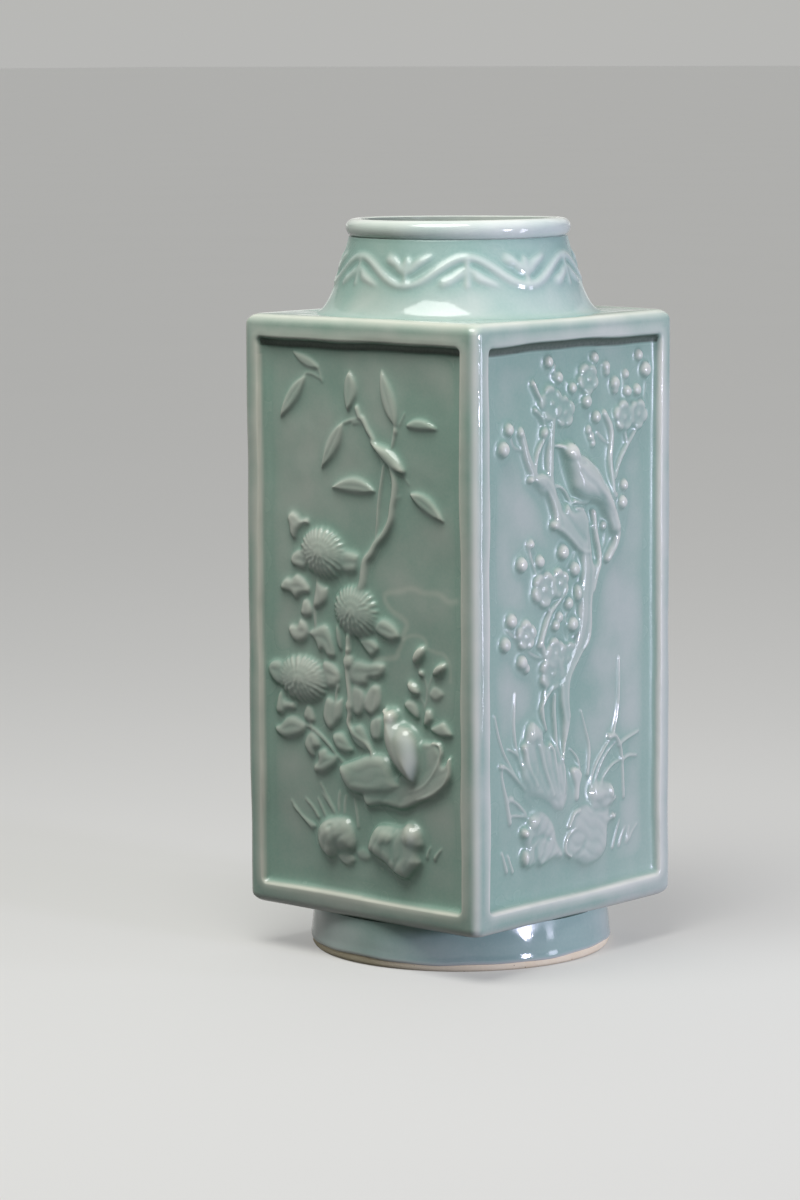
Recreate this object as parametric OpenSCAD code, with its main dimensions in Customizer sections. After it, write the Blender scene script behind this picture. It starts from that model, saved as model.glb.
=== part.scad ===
// Square celadon vase with a round neck and foot.
// Four mitred wall slabs with sunk panels, a base and a shoulder let in between them, a thrown foot, neck
// and lip, and moulded bird-and-flower relief on the panels. It stands on its foot at z = 0.

/* [Body] */
// Width across the flat faces of the square body
body_w = 119; // [105:1:150]
// Height of the square body
body_h = 227; // [190:1:270]
// Thickness of the wall slabs at their raised frames
wall_t = 9; // [7:0.5:13]
// Thickness of the base slab
base_t = 8; // [5:0.5:14]
// Thickness of the shoulder slab
shoulder_t = 8; // [5:0.5:14]
// Radius of the body's outer edges
edge_r = 4; // [1:0.5:6]
// Radius of the clay coils pressed into the inner seams
coil_r = 8; // [4:0.5:12]

/* [Panels] */
// Width of the plain frame at the left and right of each sunk panel
frame_side = 9.5; // [7:0.5:16]
// Width of the plain frame above and below each sunk panel
frame_end = 10; // [7:0.5:20]
// Depth of the panels below their frames
panel_depth = 3.2; // [1.5:0.1:5]
// Width of the sloping border between frame and panel
panel_slope = 1.5; // [0.5:0.1:4]

/* [Relief] */
// Height of twigs, blades and thin leaves above the panel
low = 1.2; // [0.6:0.1:2]
// Height of foliage, blossoms and rocks above the panel
mid = 2; // [1:0.1:3]
// Height of flower heads and birds above the panel
high = 2.8; // [2:0.1:5]

/* [Foot] */
// Height of the foot ring
foot_h = 17; // [8:0.5:30]
// Thickness of the foot ring
foot_t = 7; // [4:0.5:12]
// Inset of the top of the foot from the body's flat faces
foot_inset = 3.2; // [1:0.1:12]
// Swell of the foot below its top edge
foot_swell = 1.4; // [0:0.1:3]
// Turn of the swell's curve from the top of the foot to the table, in degrees
foot_curve = 115; // [60:1:170]
// Bevel where the glaze is wiped from the standing edge
foot_bevel = 1.2; // [0.4:0.1:3]

/* [Neck] */
// Height of the neck between the shoulder and the lip
neck_h = 29; // [24:0.5:45]
// Thickness of the neck's wall
neck_t = 4.5; // [3:0.1:8]
// Margin of flat shoulder between the neck and the body's flat faces
shoulder_margin = 7; // [3:0.5:14]
// Narrowing of the neck along its height
neck_taper = 7.9; // [2:0.1:14]
// Extra flare where the neck meets the shoulder
neck_flare = 3.2; // [0:0.1:8]
// Ledge of the shoulder slab inside the neck
hole_ledge = 6; // [1:0.5:12]
// Radius of the rolled lip
lip_r = 3.8; // [2.5:0.1:6]
// How far the lip stands out from the top of the neck
lip_proud = 1.3; // [0.4:0.1:3]
// Height of the lip's flat seat, cut from the bottom of the roll
lip_seat = 0.6; // [0.2:0.1:1.5]

/* [Scroll] */
// Number of waves of vine round the neck
vine_waves = 6; // [4:1:9]
// Height of the vine's middle above the middle of the neck
vine_rise = 1; // [-1:0.1:3]
// Height of the vine's waves above and below their middle
vine_swing = 4.8; // [2:0.1:6]
// Width of the vine
vine_w = 2.4; // [1.5:0.1:4]
// Height of the scroll above the neck's surface
vine_lift = 1.2; // [0.6:0.1:2]
// Thickness of the slip that sticks the scroll to the neck
slip_t = 0.15; // [0.1:0.01:0.3]

/* [Hidden] */
$fn = 96;
body_top = foot_h + body_h;
neck_top = body_top + neck_h;
half_w = body_w / 2;
inner_w = body_w - 2 * wall_t;
panel_w = body_w - 2 * frame_side;
panel_h = body_h - 2 * frame_end;
panel_foot = foot_h + frame_end;
foot_r = half_w - foot_inset;
neck_base_r = half_w - shoulder_margin;
neck_top_r = neck_base_r - neck_taper - neck_flare;
hole_r = neck_base_r - neck_t - hole_ledge;
lip_mid_r = neck_top_r + lip_proud - lip_r;
lip_mid_z = neck_top + lip_r - lip_seat;
vine_mid = body_top + neck_h / 2 + vine_rise;

// The relief is drawn on a panel with these lower left and upper right corners, as distance right of the
// panel's middle and height above the table. The drawing is stretched to the real panel.
drawn_low = [-50, 27];
drawn_high = [50, 234];
drawn_size = drawn_high - drawn_low;

// Cuts longer or deeper than what they cut by this much
over = 1;
// Sides of the small hulled lumps and petals of the relief
lump_sides = 7;
// Straight steps along the curved profiles of the neck and foot
profile_steps = 12;

glaze = "#a9c2b6";
pale_glaze = "#c5d8cf";
relief_glaze = "#b8cdc2";
biscuit = "#d9cdb8";

// Outline of a square with its given corners rounded; a corner is a pair of signs
module rounded_rect(size, r, corners) {
    difference() {
        translate(-size / 2) square(size);
        for (c = corners) {
            difference() {
                translate([c[0] * size[0] / 2, c[1] * size[1] / 2]) square(2 * r, center = true);
                translate([c[0] * (size[0] / 2 - r), c[1] * (size[1] / 2 - r)]) circle(r);
            }
        }
    }
}

// Slab from one face of the body inwards, mitred at its ends, with soft outer edges
module wall_blank() {
    intersection() {
        translate([0, 0, foot_h]) linear_extrude(body_h) intersection() {
            rounded_rect([body_w, body_w], edge_r, [[-1, -1], [1, -1]]);
            polygon([[-half_w, -half_w], [half_w, -half_w], [half_w - wall_t, wall_t - half_w],
                     [wall_t - half_w, wall_t - half_w]]);
        }
        translate([-half_w, 0, foot_h + body_h / 2]) rotate([90, 0, 90]) linear_extrude(body_w)
            rounded_rect([body_w, body_h], edge_r, [[-1, -1], [-1, 1]]);
    }
}

// Hollow with sloping sides that sinks the panel into the front slab
module panel_hollow() {
    mouth = panel_slope * (panel_depth + over) / panel_depth;
    floor_y = panel_depth - half_w;
    mouth_y = -half_w - over;
    wide = panel_w / 2;
    tall = panel_h / 2;
    intersection() {
        translate([0, 0, panel_foot - over - mouth]) linear_extrude(panel_h + 2 * (over + mouth))
            polygon([[-wide, floor_y], [wide, floor_y], [wide + mouth, mouth_y], [-wide - mouth, mouth_y]]);
        translate([-half_w, 0, panel_foot + tall]) rotate([90, 0, 90]) linear_extrude(body_w)
            polygon([[floor_y, -tall], [mouth_y, -tall - mouth], [mouth_y, tall + mouth], [floor_y, tall]]);
    }
}

module wall_slab() {
    color(glaze) difference() {
        wall_blank();
        panel_hollow();
    }
}

// Turn a piece made for the front wall to another wall, or repeat it on all four
module to_right() { rotate(90) children(); }
module to_back() { rotate(180) children(); }
module to_left() { rotate(270) children(); }
module on_each_side() { for (turn = [0 : 90 : 270]) rotate(turn) children(); }

module front_wall() { wall_slab(); }
module right_wall() { to_right() wall_slab(); }
module back_wall() { to_back() wall_slab(); }
module left_wall() { to_left() wall_slab(); }

module base_slab() {
    color(glaze) translate([-inner_w / 2, -inner_w / 2, foot_h]) cube([inner_w, inner_w, base_t]);
}

module shoulder_slab() {
    color(pale_glaze) translate([0, 0, body_top - shoulder_t]) difference() {
        translate([-inner_w / 2, -inner_w / 2, 0]) cube([inner_w, inner_w, shoulder_t]);
        translate([0, 0, -over]) cylinder(r = hole_r, h = shoulder_t + 2 * over);
    }
}

// Quarter-round coil along +Z, filling the corner between the +X and +Y sides
module coil(length) {
    linear_extrude(length) intersection() {
        circle(coil_r);
        square(coil_r);
    }
}

module corner_seam_coils() {
    color(glaze) on_each_side() translate([-inner_w / 2, -inner_w / 2, foot_h + base_t])
        coil(body_h - base_t - shoulder_t);
}

// Coil along the foot of the front slab's inner face, between the corner coils
module floor_coil() {
    length = inner_w - 2 * coil_r;
    translate([-length / 2, -inner_w / 2, foot_h + base_t]) rotate([90, 0, 90]) coil(length);
}

module base_seam_coils() {
    color(glaze) on_each_side() floor_coil();
}

module shoulder_seam_coils() {
    drop = 2 * foot_h + body_h + base_t - shoulder_t;
    color(glaze) on_each_side() translate([0, 0, drop]) mirror([0, 0, 1]) floor_coil();
}

// Radius of the foot at a share of its height, counted down from the body
function foot_radius(t) = foot_r + foot_swell * sin(foot_curve * t);

module foot_ring() {
    bevel_share = 1 - foot_bevel / foot_h;
    outside = [for (i = [0 : profile_steps])
        let (t = bevel_share * i / profile_steps) [foot_radius(t), foot_h * (1 - t)]];
    bottom_r = foot_radius(1) - foot_bevel;
    inside_r = foot_r - foot_t;
    color(biscuit) rotate_extrude()
        polygon(concat(outside, [[bottom_r, 0], [inside_r + foot_bevel, 0], [inside_r, foot_bevel],
                                 [inside_r, foot_h]]));
}

// Radius of the neck at a height above the table
function neck_radius(z) =
    let (rest = 1 - (z - body_top) / neck_h) neck_top_r + neck_taper * rest + neck_flare * pow(rest, 4);

module neck() {
    heights = [for (i = [0 : profile_steps]) body_top + neck_h * i / profile_steps];
    outside = [for (z = heights) [neck_radius(z), z]];
    inside = [for (i = [profile_steps : -1 : 0]) [neck_radius(heights[i]) - neck_t, heights[i]]];
    color(pale_glaze) rotate_extrude() polygon(concat(outside, inside));
}

module mouth_rim() {
    bore_r = neck_top_r - neck_t;
    color(pale_glaze) rotate_extrude() difference() {
        translate([lip_mid_r, lip_mid_z]) circle(lip_r);
        translate([bore_r - 2 * lip_r, neck_top - over]) square([2 * lip_r, 2 * lip_r + 2 * over]);
        translate([lip_mid_r - 2 * lip_r, neck_top - 2 * lip_r]) square([4 * lip_r, 2 * lip_r]);
    }
}

// Places for a point of the relief: flat on the panel, or wrapped round the neck by angle and height
flat = function (p, lift) [p[0], p[1], lift];
on_neck = function (p, lift)
    let (r = neck_radius(p[1]) + slip_t + lift, turn = p[0] / neck_radius(vine_mid) * 180 / PI)
    [r * cos(turn), r * sin(turn), p[1]];

// Direction of a line of points at one of them
function heading(p, i) =
    let (d = p[min(i + 1, len(p) - 1)] - p[max(i - 1, 0)]) d / norm(d);

// Round-backed section of a ridge: two feet on the ground and two shoulders above them
function section(p, i, w, h, place) =
    let (d = heading(p, i), n = [-d[1], d[0]] * w / 2, crown = 0.45)
    [place(p[i] + n, 0), place(p[i] + n * crown, h), place(p[i] - n * crown, h), place(p[i] - n, 0)];

// Faces of the stretch of ridge between two sections
prism_faces = [[3, 2, 1, 0], [4, 5, 6, 7], [0, 1, 5, 4], [1, 2, 6, 5], [2, 3, 7, 6], [3, 0, 4, 7]];

// Ridge along a line of points, its width running from w to w * tip
module ridge(p, w, h, tip = 1, place = flat) {
    last = len(p) - 1;
    sections = [for (i = [0 : last]) section(p, i, w * (1 + (tip - 1) * i / last), h, place)];
    for (i = [0 : last - 1]) hull() polyhedron(concat(sections[i], sections[i + 1]), prism_faces);
}

// Low round lump
module boss(p, r, h, sides = lump_sides) {
    translate([p[0], p[1], 0]) cylinder(r1 = r, r2 = 0.5 * r, h = h, $fn = sides);
}

// Oval lump with the given half axes, turned
module lobe(p, rx, ry, turn, h) {
    hull() translate([p[0], p[1], 0]) rotate(turn) scale([rx, ry, 1])
        cylinder(r1 = 1, r2 = 0.5, h = h, $fn = lump_sides);
}

// Pointed leaf from its base to its tip
module leaf(base, tip, w, h) {
    d = tip - base;
    hull() translate((base + tip) / 2) rotate(atan2(d[1], d[0])) scale([norm(d) / 2, w / sqrt(3), 1])
        cylinder(r1 = 1, r2 = 0.35, h = h, $fn = 6);
}

// Lump drawn out between two points
module swell(a, ra, b, rb, h) {
    hull() {
        boss(a, ra, h);
        boss(b, rb, h);
    }
}

// Mound with sloping sides on an outline
module mound(outline, h) {
    middle = [for (k = [0, 1]) let (c = [for (p = outline) p[k]]) (min(c) + max(c)) / 2];
    translate(middle) linear_extrude(h, scale = 0.75) polygon([for (p = outline) p - middle]);
}

// Round flower outline with the given number of petals
function petals(r, count, notch) = [
    for (i = [0 : 4 * count - 1])
        let (t = 90 * i / count)
        r * (1 - notch + notch * cos(count * t)) * [cos(t), sin(t)]
];

module bamboo_stems() {
    ridge([[-2.5, 210], [0.5, 207], [3, 202], [5.5, 199]], 2.6, low);
    ridge([[10.5, 188], [8.5, 182], [7, 172], [6, 160]], 2, low);
    ridge([[14, 188], [15.5, 184], [15, 179], [14, 168], [10.5, 163], [5.5, 158], [1.5, 154], [-1, 143]],
          3.4, mid);
    ridge([[16, 207], [15, 197]], 2, low);
    ridge([[-7, 125], [-8, 112], [-9, 104], [-8, 96], [-6, 91]], 4, mid);
    ridge([[-24.5, 87], [-16.5, 81], [-10.5, 76]], 1.8, low);
}

module bamboo_leaves() {
    leaf([-21, 224], [-34.5, 229], 3, low);
    leaf([-29.5, 220.5], [-42, 205], 5, low);
    leaf([-7, 223], [-8, 209.5], 6, low);
    leaf([16, 206.5], [9.5, 224], 6, low);
    leaf([20.5, 206], [35.5, 205], 3, low);
    leaf([-10, 204], [-21.5, 187], 5.5, low);
    leaf([5, 180.5], [-15.5, 181], 6.5, low);
    leaf([24, 180], [38, 171.5], 5.5, low);
    swell([16.5, 191], 4.6, [5, 197.5], 2, mid);
}

module foliage() {
    lobe([-35, 165.5], 4.5, 3, -20, mid);
    lobe([-32.5, 160.5], 3, 3, 0, mid);
    lobe([-33.5, 151], 3.5, 3, 0, mid);
    lobe([-4.5, 151.5], 5, 3.2, 0, mid);
    lobe([-34.5, 141.5], 7, 3.5, 0, mid);
    lobe([-21.5, 138], 3, 4.5, 0, mid);
    lobe([-28, 133], 3, 3, 0, mid);
    lobe([13.5, 128], 4.5, 3.2, 0, mid);
    lobe([4.5, 121], 5, 3, 0, mid);
    lobe([-33.5, 124], 5, 3.2, 0, mid);
    lobe([-20.5, 121.5], 5.5, 5, 0, mid);
    lobe([-44, 107.5], 4.5, 4, 0, mid);
    lobe([-15.5, 109.5], 4.5, 4, 0, mid);
    lobe([2, 111.5], 7, 4, 0, mid);
    lobe([5, 101], 3.5, 5, 0, mid);
    lobe([-40, 94], 4, 3, 0, mid);
    lobe([-37.5, 86.5], 7, 3.8, 0, mid);
    lobe([-26.5, 81.5], 3.2, 4.5, 30, mid);
    lobe([-19, 75.5], 5.5, 4, 0, mid);
    lobe([-15, 93.5], 4.5, 5, 0, mid);
    lobe([-1.5, 86], 5, 3.5, 0, mid);
    lobe([-11.5, 84.5], 4, 4, 0, mid);
    lobe([7, 91], 3, 4.5, 0, mid);
}

// Flower head: a flat skirt of petals, a ring of raised petals on it and a domed middle
module chrysanthemum(p, rx, ry) {
    petal_count = 9;
    translate(p) scale([1, ry / rx, 1]) {
        linear_extrude(0.6 * high, scale = 0.85) polygon(petals(rx, 12, 0.09));
        for (k = [1 : petal_count]) {
            rotate(k * 360 / petal_count) leaf([0.2 * rx, 0], [0.85 * rx, 0], 0.45 * rx, 0.85 * high);
        }
        lobe([0, 0], 0.45 * rx, 0.45 * rx, 0, high);
    }
}

module chrysanthemums() {
    chrysanthemum([-19.5, 155], 10.5, 9.5);
    chrysanthemum([-2.5, 134], 11, 9.5);
    chrysanthemum([-29.5, 107], 12, 9.5);
}

module bud_spray() {
    lobe([27, 120.5], 4.5, 2.8, 50, mid);
    lobe([36.5, 116], 4, 2.4, 35, mid);
    lobe([24.5, 108], 3.4, 2.2, -40, mid);
    lobe([36, 107], 4, 3, 20, low);
    lobe([23.5, 101.5], 4.5, 3.2, -35, mid);
    lobe([32, 97], 3, 4, 0, low);
    lobe([40, 93.5], 4.5, 2.8, -30, mid);
    ridge([[24.5, 117], [29, 112], [30.5, 106], [30, 98]], 1.8, low);
    ridge([[35, 113], [30.5, 106]], 1.6, low);
}

module grass() {
    ridge([[-13.5, 55.5], [-17, 61], [-21, 65.5]], 2, low, 0.3);
    ridge([[-19.5, 56.5], [-23, 60], [-26.5, 62]], 2, low, 0.3);
    ridge([[-21.5, 54.5], [-26, 58], [-29.5, 60.5]], 2, low, 0.3);
    ridge([[-26, 51.5], [-32, 55], [-36.5, 57.5]], 2, low, 0.3);
    ridge([[31, 45], [32, 48], [34.5, 50.5]], 1.8, low, 0.3);
}

module ground_rocks() {
    mound([[-25, 47], [-22, 53.5], [-15, 55], [-8, 53], [-5, 46], [-3.5, 39], [-9, 37], [-16, 40.5],
           [-22, 41]], mid);
    mound([[1.5, 44], [4.5, 52], [12.5, 55], [22.5, 56], [28.5, 48], [26.5, 41], [19.5, 35.5],
           [12.5, 38]], mid);
    lobe([-18, 49.5], 5, 4, 20, high);
    lobe([-10, 47], 3.5, 5, 10, high);
    lobe([-7.5, 40], 3, 2.5, 0, high);
    lobe([7.5, 48], 3.5, 4.5, -15, high);
    lobe([15, 49.5], 3.6, 5, 0, high);
    lobe([22.5, 49], 3.2, 5, 15, high);
    lobe([20, 41], 4, 3.5, -20, high);
    lobe([12, 43], 3, 2.5, 0, high);
}

module perch_rock() {
    mound([[-12.5, 74], [0.5, 80], [13, 80], [18, 70], [15, 66], [3, 63], [-5, 65], [-10.5, 69]], mid);
    ridge([[-9, 73], [-1, 76], [9, 77.5]], 4, high);
    ridge([[-4, 67.5], [4, 69], [12, 72]], 4, high);
    ridge([[35, 88], [38.5, 82], [37, 76], [32, 70.5], [24, 66], [17, 65]], 5.5, mid);
    ridge([[43, 80], [42, 74], [36, 68.5], [24, 63], [6, 60.5]], 4, mid);
}

module front_panel_bird() {
    swell([22, 86], 8, [18, 93], 5.5, high);
    swell([22, 86], 7.5, [25, 78], 5, high);
    swell([25, 78], 3.5, [28, 71], 1.6, mid);
    lobe([15, 96], 4.4, 3.8, 0, high);
    leaf([14, 96.5], [9.5, 99], 3, mid);
    leaf([20, 93], [29, 77], 7, 1.12 * high);
    ridge([[17, 90], [19, 83], [23, 76]], 2.5, 1.05 * high, 0.4);
}

module prunus_branches() {
    ridge([[-28, 202], [-26.5, 196], [-24.5, 191], [-20, 183.5]], 3.4, low);
    ridge([[-10, 204.5], [-14, 200], [-18, 195], [-21, 185]], 3, low);
    ridge([[-11.5, 203], [-12, 196], [-12.5, 190], [-12, 182]], 4.2, mid);
    ridge([[-21, 184], [-15.5, 180], [-12, 175], [-7.5, 168], [1, 162], [7.5, 155]], 7, mid, 1.5);
    ridge([[7.5, 157], [9.5, 147], [8, 137], [7.5, 127], [4.5, 118], [-1.5, 110], [-4.5, 102], [-3.5, 92]],
          9, mid, 0.7);
    ridge([[14, 169], [14.5, 162], [14, 152]], 4, low);
    ridge([[39, 198.5], [34.5, 193], [30, 188], [26, 179]], 3, low);
    ridge([[19.5, 205.5], [23.5, 200], [23.5, 187], [25, 180]], 3, low);
    ridge([[-20.5, 219.5], [-16, 213.5], [-12.5, 211]], 3, low);
    ridge([[-8.5, 105], [-8, 96], [-9, 89]], 3, low);
    ridge([[-4.5, 93], [-1.5, 88], [-3, 80], [-2.5, 67]], 4, low);
    ridge([[-4, 141], [-9.5, 136], [-12.5, 133], [-18, 123]], 2.6, low);
    ridge([[-24, 158], [-21, 152], [-19, 147]], 1.8, low);
    ridge([[-34, 129], [-25, 120.5], [-15.5, 117]], 1.8, low);
    ridge([[-35, 200], [-32, 197], [-27, 195.5]], 1.8, low);
}

module orchid_leaves() {
    under = 0.8 * low;
    ridge([[24.6, 81.5], [28.5, 94], [31, 110]], 3, under, 0.2);
    ridge([[23.8, 83.4], [29.5, 79], [32.5, 70], [33, 60]], 3, 1.15 * low, 0.2);
    ridge([[10.5, 66], [19, 76], [25.8, 84.5]], 2.7, low);
    ridge([[18, 64], [24, 69.5], [30, 72.5], [40.5, 74]], 2.6, under, 0.2);
    ridge([[17, 70], [24, 77], [31, 81], [40.5, 82.5]], 2.6, under, 0.2);
    ridge([[8, 62], [11, 83], [7, 94.5]], 2.6, under, 0.2);
    ridge([[-29.3, 72], [-32.5, 92], [-32.5, 106]], 2.6, low, 0.2);
    ridge([[-20, 60.5], [-27.5, 68], [-36, 79], [-42.5, 95.5]], 3, under, 0.2);
    ridge([[-24.5, 58], [-34.5, 67], [-39.5, 79]], 2.6, low, 0.2);
    ridge([[-38, 40], [-39, 44], [-40.5, 47]], 1.8, low, 0.2);
    ridge([[27.5, 40], [29, 44], [30, 47.5]], 1.8, low, 0.2);
}

module prunus_rocks() {
    mound([[-26.5, 88], [-24.5, 94], [-17, 92], [-15.5, 84.5], [-11, 83], [-7.5, 79], [-6.5, 71],
           [-5.5, 60.5], [-11.5, 60.5], [-19.5, 64], [-25.5, 69], [-28.5, 76]], mid);
    mound([[-23.5, 57.5], [-13.5, 59], [-9.5, 53], [-5.5, 44], [-11.5, 40], [-16.5, 38], [-25.5, 39],
           [-28.5, 45]], mid);
    mound([[10.5, 63.5], [16.5, 66], [24.5, 65.5], [27.5, 59], [24.5, 56], [27.5, 51], [23.5, 46],
           [22.5, 40], [16.5, 35], [5.5, 36], [-2.5, 39], [-4.5, 46], [0.5, 56]], mid);
    ridge([[-22, 90], [-22.5, 80], [-18, 70]], 4, high);
    ridge([[-13, 81], [-12, 72], [-10, 64]], 4, high);
    ridge([[-20, 55], [-21, 48], [-24, 42]], 4, high);
    ridge([[-13, 54], [-11, 46]], 4, high);
    ridge([[14, 62], [11, 54], [8, 46], [2, 41]], 4.5, high);
    ridge([[22, 62], [20, 53], [18, 42]], 4.5, high);
    lobe([2.5, 71.5], 3, 4.5, 0, mid);
}

module blossom(p, r) {
    translate(p) {
        difference() {
            linear_extrude(mid, scale = 0.85) polygon(petals(r, 5, 0.1));
            translate([0, 0, mid / 2]) cylinder(r1 = 0.2 * r, r2 = 0.55 * r, h = mid, $fn = 5);
        }
        lobe([0, 0], 0.18 * r, 0.18 * r, 0, 0.9 * mid);
    }
}

module blossoms() {
    blossom([-11, 211], 6.5);
    blossom([-2.5, 207.5], 5.5);
    blossom([10.5, 220], 5.2);
    blossom([30.5, 204], 4.8);
    blossom([40, 204.5], 5.2);
    blossom([-16, 143], 6);
    blossom([-6, 144], 4.8);
    blossom([-26.5, 125.5], 5);
    blossom([-11, 113], 6.5);
    blossom([-1, 117], 6.5);
}

module buds() {
    places = [
        [-11.5, 227, 2.4], [-6.5, 221, 2.6], [1.7, 217, 2.4], [15, 227, 2.3], [21.7, 223, 2.3],
        [27, 217, 2.8], [10, 211.5, 2.6], [41, 227, 2.2], [46, 221, 2.8], [34, 213.5, 2.2],
        [40, 213.5, 2.2], [15.7, 205.5, 2], [12.5, 198, 3], [-35, 204, 2.6], [-37.5, 196, 3.2],
        [32.5, 178.5, 2.2], [31.5, 172, 2.5], [20, 163.5, 2], [-27.3, 153.5, 2.6], [-17, 153.5, 2.5],
        [-4, 156.5, 2.9], [2.5, 148.5, 2.5], [-1, 136.5, 2.4], [-7.5, 129, 3], [1, 128, 2.6],
        [-33.3, 132.5, 2.5], [-37, 124, 2.7], [-27, 116.5, 3]
    ];
    for (b = places) lobe([b[0], b[1]], b[2], b[2], 0, low + b[2] / 4);
}

module right_panel_bird() {
    swell([1, 190.5], 5.5, [7.5, 184], 8, high);
    swell([7.5, 184], 7.5, [16, 176.5], 5.5, high);
    swell([16, 176.5], 4.5, [23, 168], 2.8, mid);
    lobe([-2, 194], 4.4, 3.8, -20, high);
    leaf([-3, 194], [-9.5, 197], 3, mid);
    leaf([4, 190], [20, 173], 8, 1.12 * high);
    ridge([[23, 168], [26, 162], [23, 153]], 4, mid, 0.4);
    leaf([3, 177], [1, 169], 3, mid);
}

// The two drawings, as sprigs in the order in which they lie on each other
module chrysanthemum_sprig(k) {
    if (k == 0) bamboo_stems();
    if (k == 1) bamboo_leaves();
    if (k == 2) foliage();
    if (k == 3) chrysanthemums();
    if (k == 4) bud_spray();
    if (k == 5) grass();
    if (k == 6) ground_rocks();
    if (k == 7) perch_rock();
    if (k == 8) front_panel_bird();
}

module prunus_sprig(k) {
    if (k == 0) prunus_branches();
    if (k == 1) orchid_leaves();
    if (k == 2) prunus_rocks();
    if (k == 3) blossoms();
    if (k == 4) buds();
    if (k == 5) right_panel_bird();
}

// Lays a sprig of a drawing on the front wall's panel
module on_panel() {
    stretch = [panel_w / drawn_size[0], panel_h / drawn_size[1], 1];
    translate([0, panel_depth - half_w, panel_foot]) rotate([90, 0, 0]) scale(stretch)
        translate([0, -drawn_low[1], 0]) children();
}

// A sprig is trimmed where the sprigs laid over it cover it
module chrysanthemum_panel(k) {
    color(relief_glaze) on_panel() difference() {
        chrysanthemum_sprig(k);
        for (cover = [k + 1 : 1 : 8]) chrysanthemum_sprig(cover);
    }
}

module prunus_panel(k) {
    color(relief_glaze) on_panel() difference() {
        prunus_sprig(k);
        for (cover = [k + 1 : 1 : 5]) prunus_sprig(cover);
    }
}

module front_bamboo_stems() { chrysanthemum_panel(0); }
module front_bamboo_leaves() { chrysanthemum_panel(1); }
module front_foliage() { chrysanthemum_panel(2); }
module front_chrysanthemums() { chrysanthemum_panel(3); }
module front_bud_spray() { chrysanthemum_panel(4); }
module front_grass() { chrysanthemum_panel(5); }
module front_ground_rocks() { chrysanthemum_panel(6); }
module front_perch_rock() { chrysanthemum_panel(7); }
module front_bird() { chrysanthemum_panel(8); }
module back_bamboo_stems() { to_back() chrysanthemum_panel(0); }
module back_bamboo_leaves() { to_back() chrysanthemum_panel(1); }
module back_foliage() { to_back() chrysanthemum_panel(2); }
module back_chrysanthemums() { to_back() chrysanthemum_panel(3); }
module back_bud_spray() { to_back() chrysanthemum_panel(4); }
module back_grass() { to_back() chrysanthemum_panel(5); }
module back_ground_rocks() { to_back() chrysanthemum_panel(6); }
module back_perch_rock() { to_back() chrysanthemum_panel(7); }
module back_bird() { to_back() chrysanthemum_panel(8); }
module right_prunus_branches() { to_right() prunus_panel(0); }
module right_orchid_leaves() { to_right() prunus_panel(1); }
module right_rocks() { to_right() prunus_panel(2); }
module right_blossoms() { to_right() prunus_panel(3); }
module right_buds() { to_right() prunus_panel(4); }
module right_bird() { to_right() prunus_panel(5); }
module left_prunus_branches() { to_left() prunus_panel(0); }
module left_orchid_leaves() { to_left() prunus_panel(1); }
module left_rocks() { to_left() prunus_panel(2); }
module left_blossoms() { to_left() prunus_panel(3); }
module left_buds() { to_left() prunus_panel(4); }
module left_bird() { to_left() prunus_panel(5); }

// Distance round the neck, at the middle of the scroll, of a share of a turn counted from the front corner
neck_girth = 2 * PI * neck_radius(vine_mid);
wave = neck_girth / vine_waves;
front_corner = -neck_girth / 8;

module neck_vine() {
    steps = 12 * vine_waves;
    line = [for (i = [-1 : steps])
        [front_corner + neck_girth * i / steps, vine_mid + vine_swing * cos(360 * vine_waves * i / steps)]];
    points = [for (i = [1 : steps]) each section(line, i, vine_w, vine_lift, on_neck)];
    faces = [for (i = [0 : steps - 1], k = [0 : 3])
        let (here = 4 * i, next = 4 * ((i + 1) % steps), side = (k + 1) % 4)
        each [[here + k, here + side, next + side], [here + k, next + side, next + k]]];
    color(relief_glaze) polyhedron(points, faces);
}

// Under each crest a stem with two drooping leaves, and in each trough an upright leaf of three lobes
module neck_palmettes() {
    stem_w = 0.65 * vine_w;
    leaf_w = 1.1 * vine_w;
    low_z = vine_mid - vine_swing;
    high_z = vine_mid + vine_swing;
    gap = vine_w / 2;
    clear = gap + vine_swing / 12;
    color(relief_glaze) for (k = [0 : vine_waves - 1]) {
        crest = front_corner + wave * k;
        trough = crest + wave / 2;
        ridge([[crest, high_z - clear], [crest, low_z - gap]], stem_w, vine_lift, 1, on_neck);
        for (side = [-1, 1]) {
            out = side * wave;
            ridge([[crest + 0.03 * out, vine_mid + vine_swing / 3], [crest + 0.1 * out, vine_mid - gap / 3],
                   [crest + 0.135 * out, low_z - gap]], leaf_w, vine_lift, 0.4, on_neck);
            ridge([[trough + 0.025 * out, low_z + 2 * gap], [trough + 0.08 * out, vine_mid],
                   [trough + 0.14 * out, vine_mid + vine_swing / 2]], leaf_w, vine_lift, 0.4, on_neck);
        }
        ridge([[trough, low_z + clear], [trough, high_z + gap]], leaf_w, vine_lift, 0.5, on_neck);
    }
}

front_wall();
right_wall();
back_wall();
left_wall();
base_slab();
shoulder_slab();
corner_seam_coils();
base_seam_coils();
shoulder_seam_coils();
foot_ring();
neck();
mouth_rim();
neck_vine();
neck_palmettes();
front_bamboo_stems();
front_bamboo_leaves();
front_foliage();
front_chrysanthemums();
front_bud_spray();
front_grass();
front_ground_rocks();
front_perch_rock();
front_bird();
back_bamboo_stems();
back_bamboo_leaves();
back_foliage();
back_chrysanthemums();
back_bud_spray();
back_grass();
back_ground_rocks();
back_perch_rock();
back_bird();
right_prunus_branches();
right_orchid_leaves();
right_rocks();
right_blossoms();
right_buds();
right_bird();
left_prunus_branches();
left_orchid_leaves();
left_rocks();
left_blossoms();
left_buds();
left_bird();
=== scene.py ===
import math

import bpy
import numpy as np
from mathutils import Matrix, Vector


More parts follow.
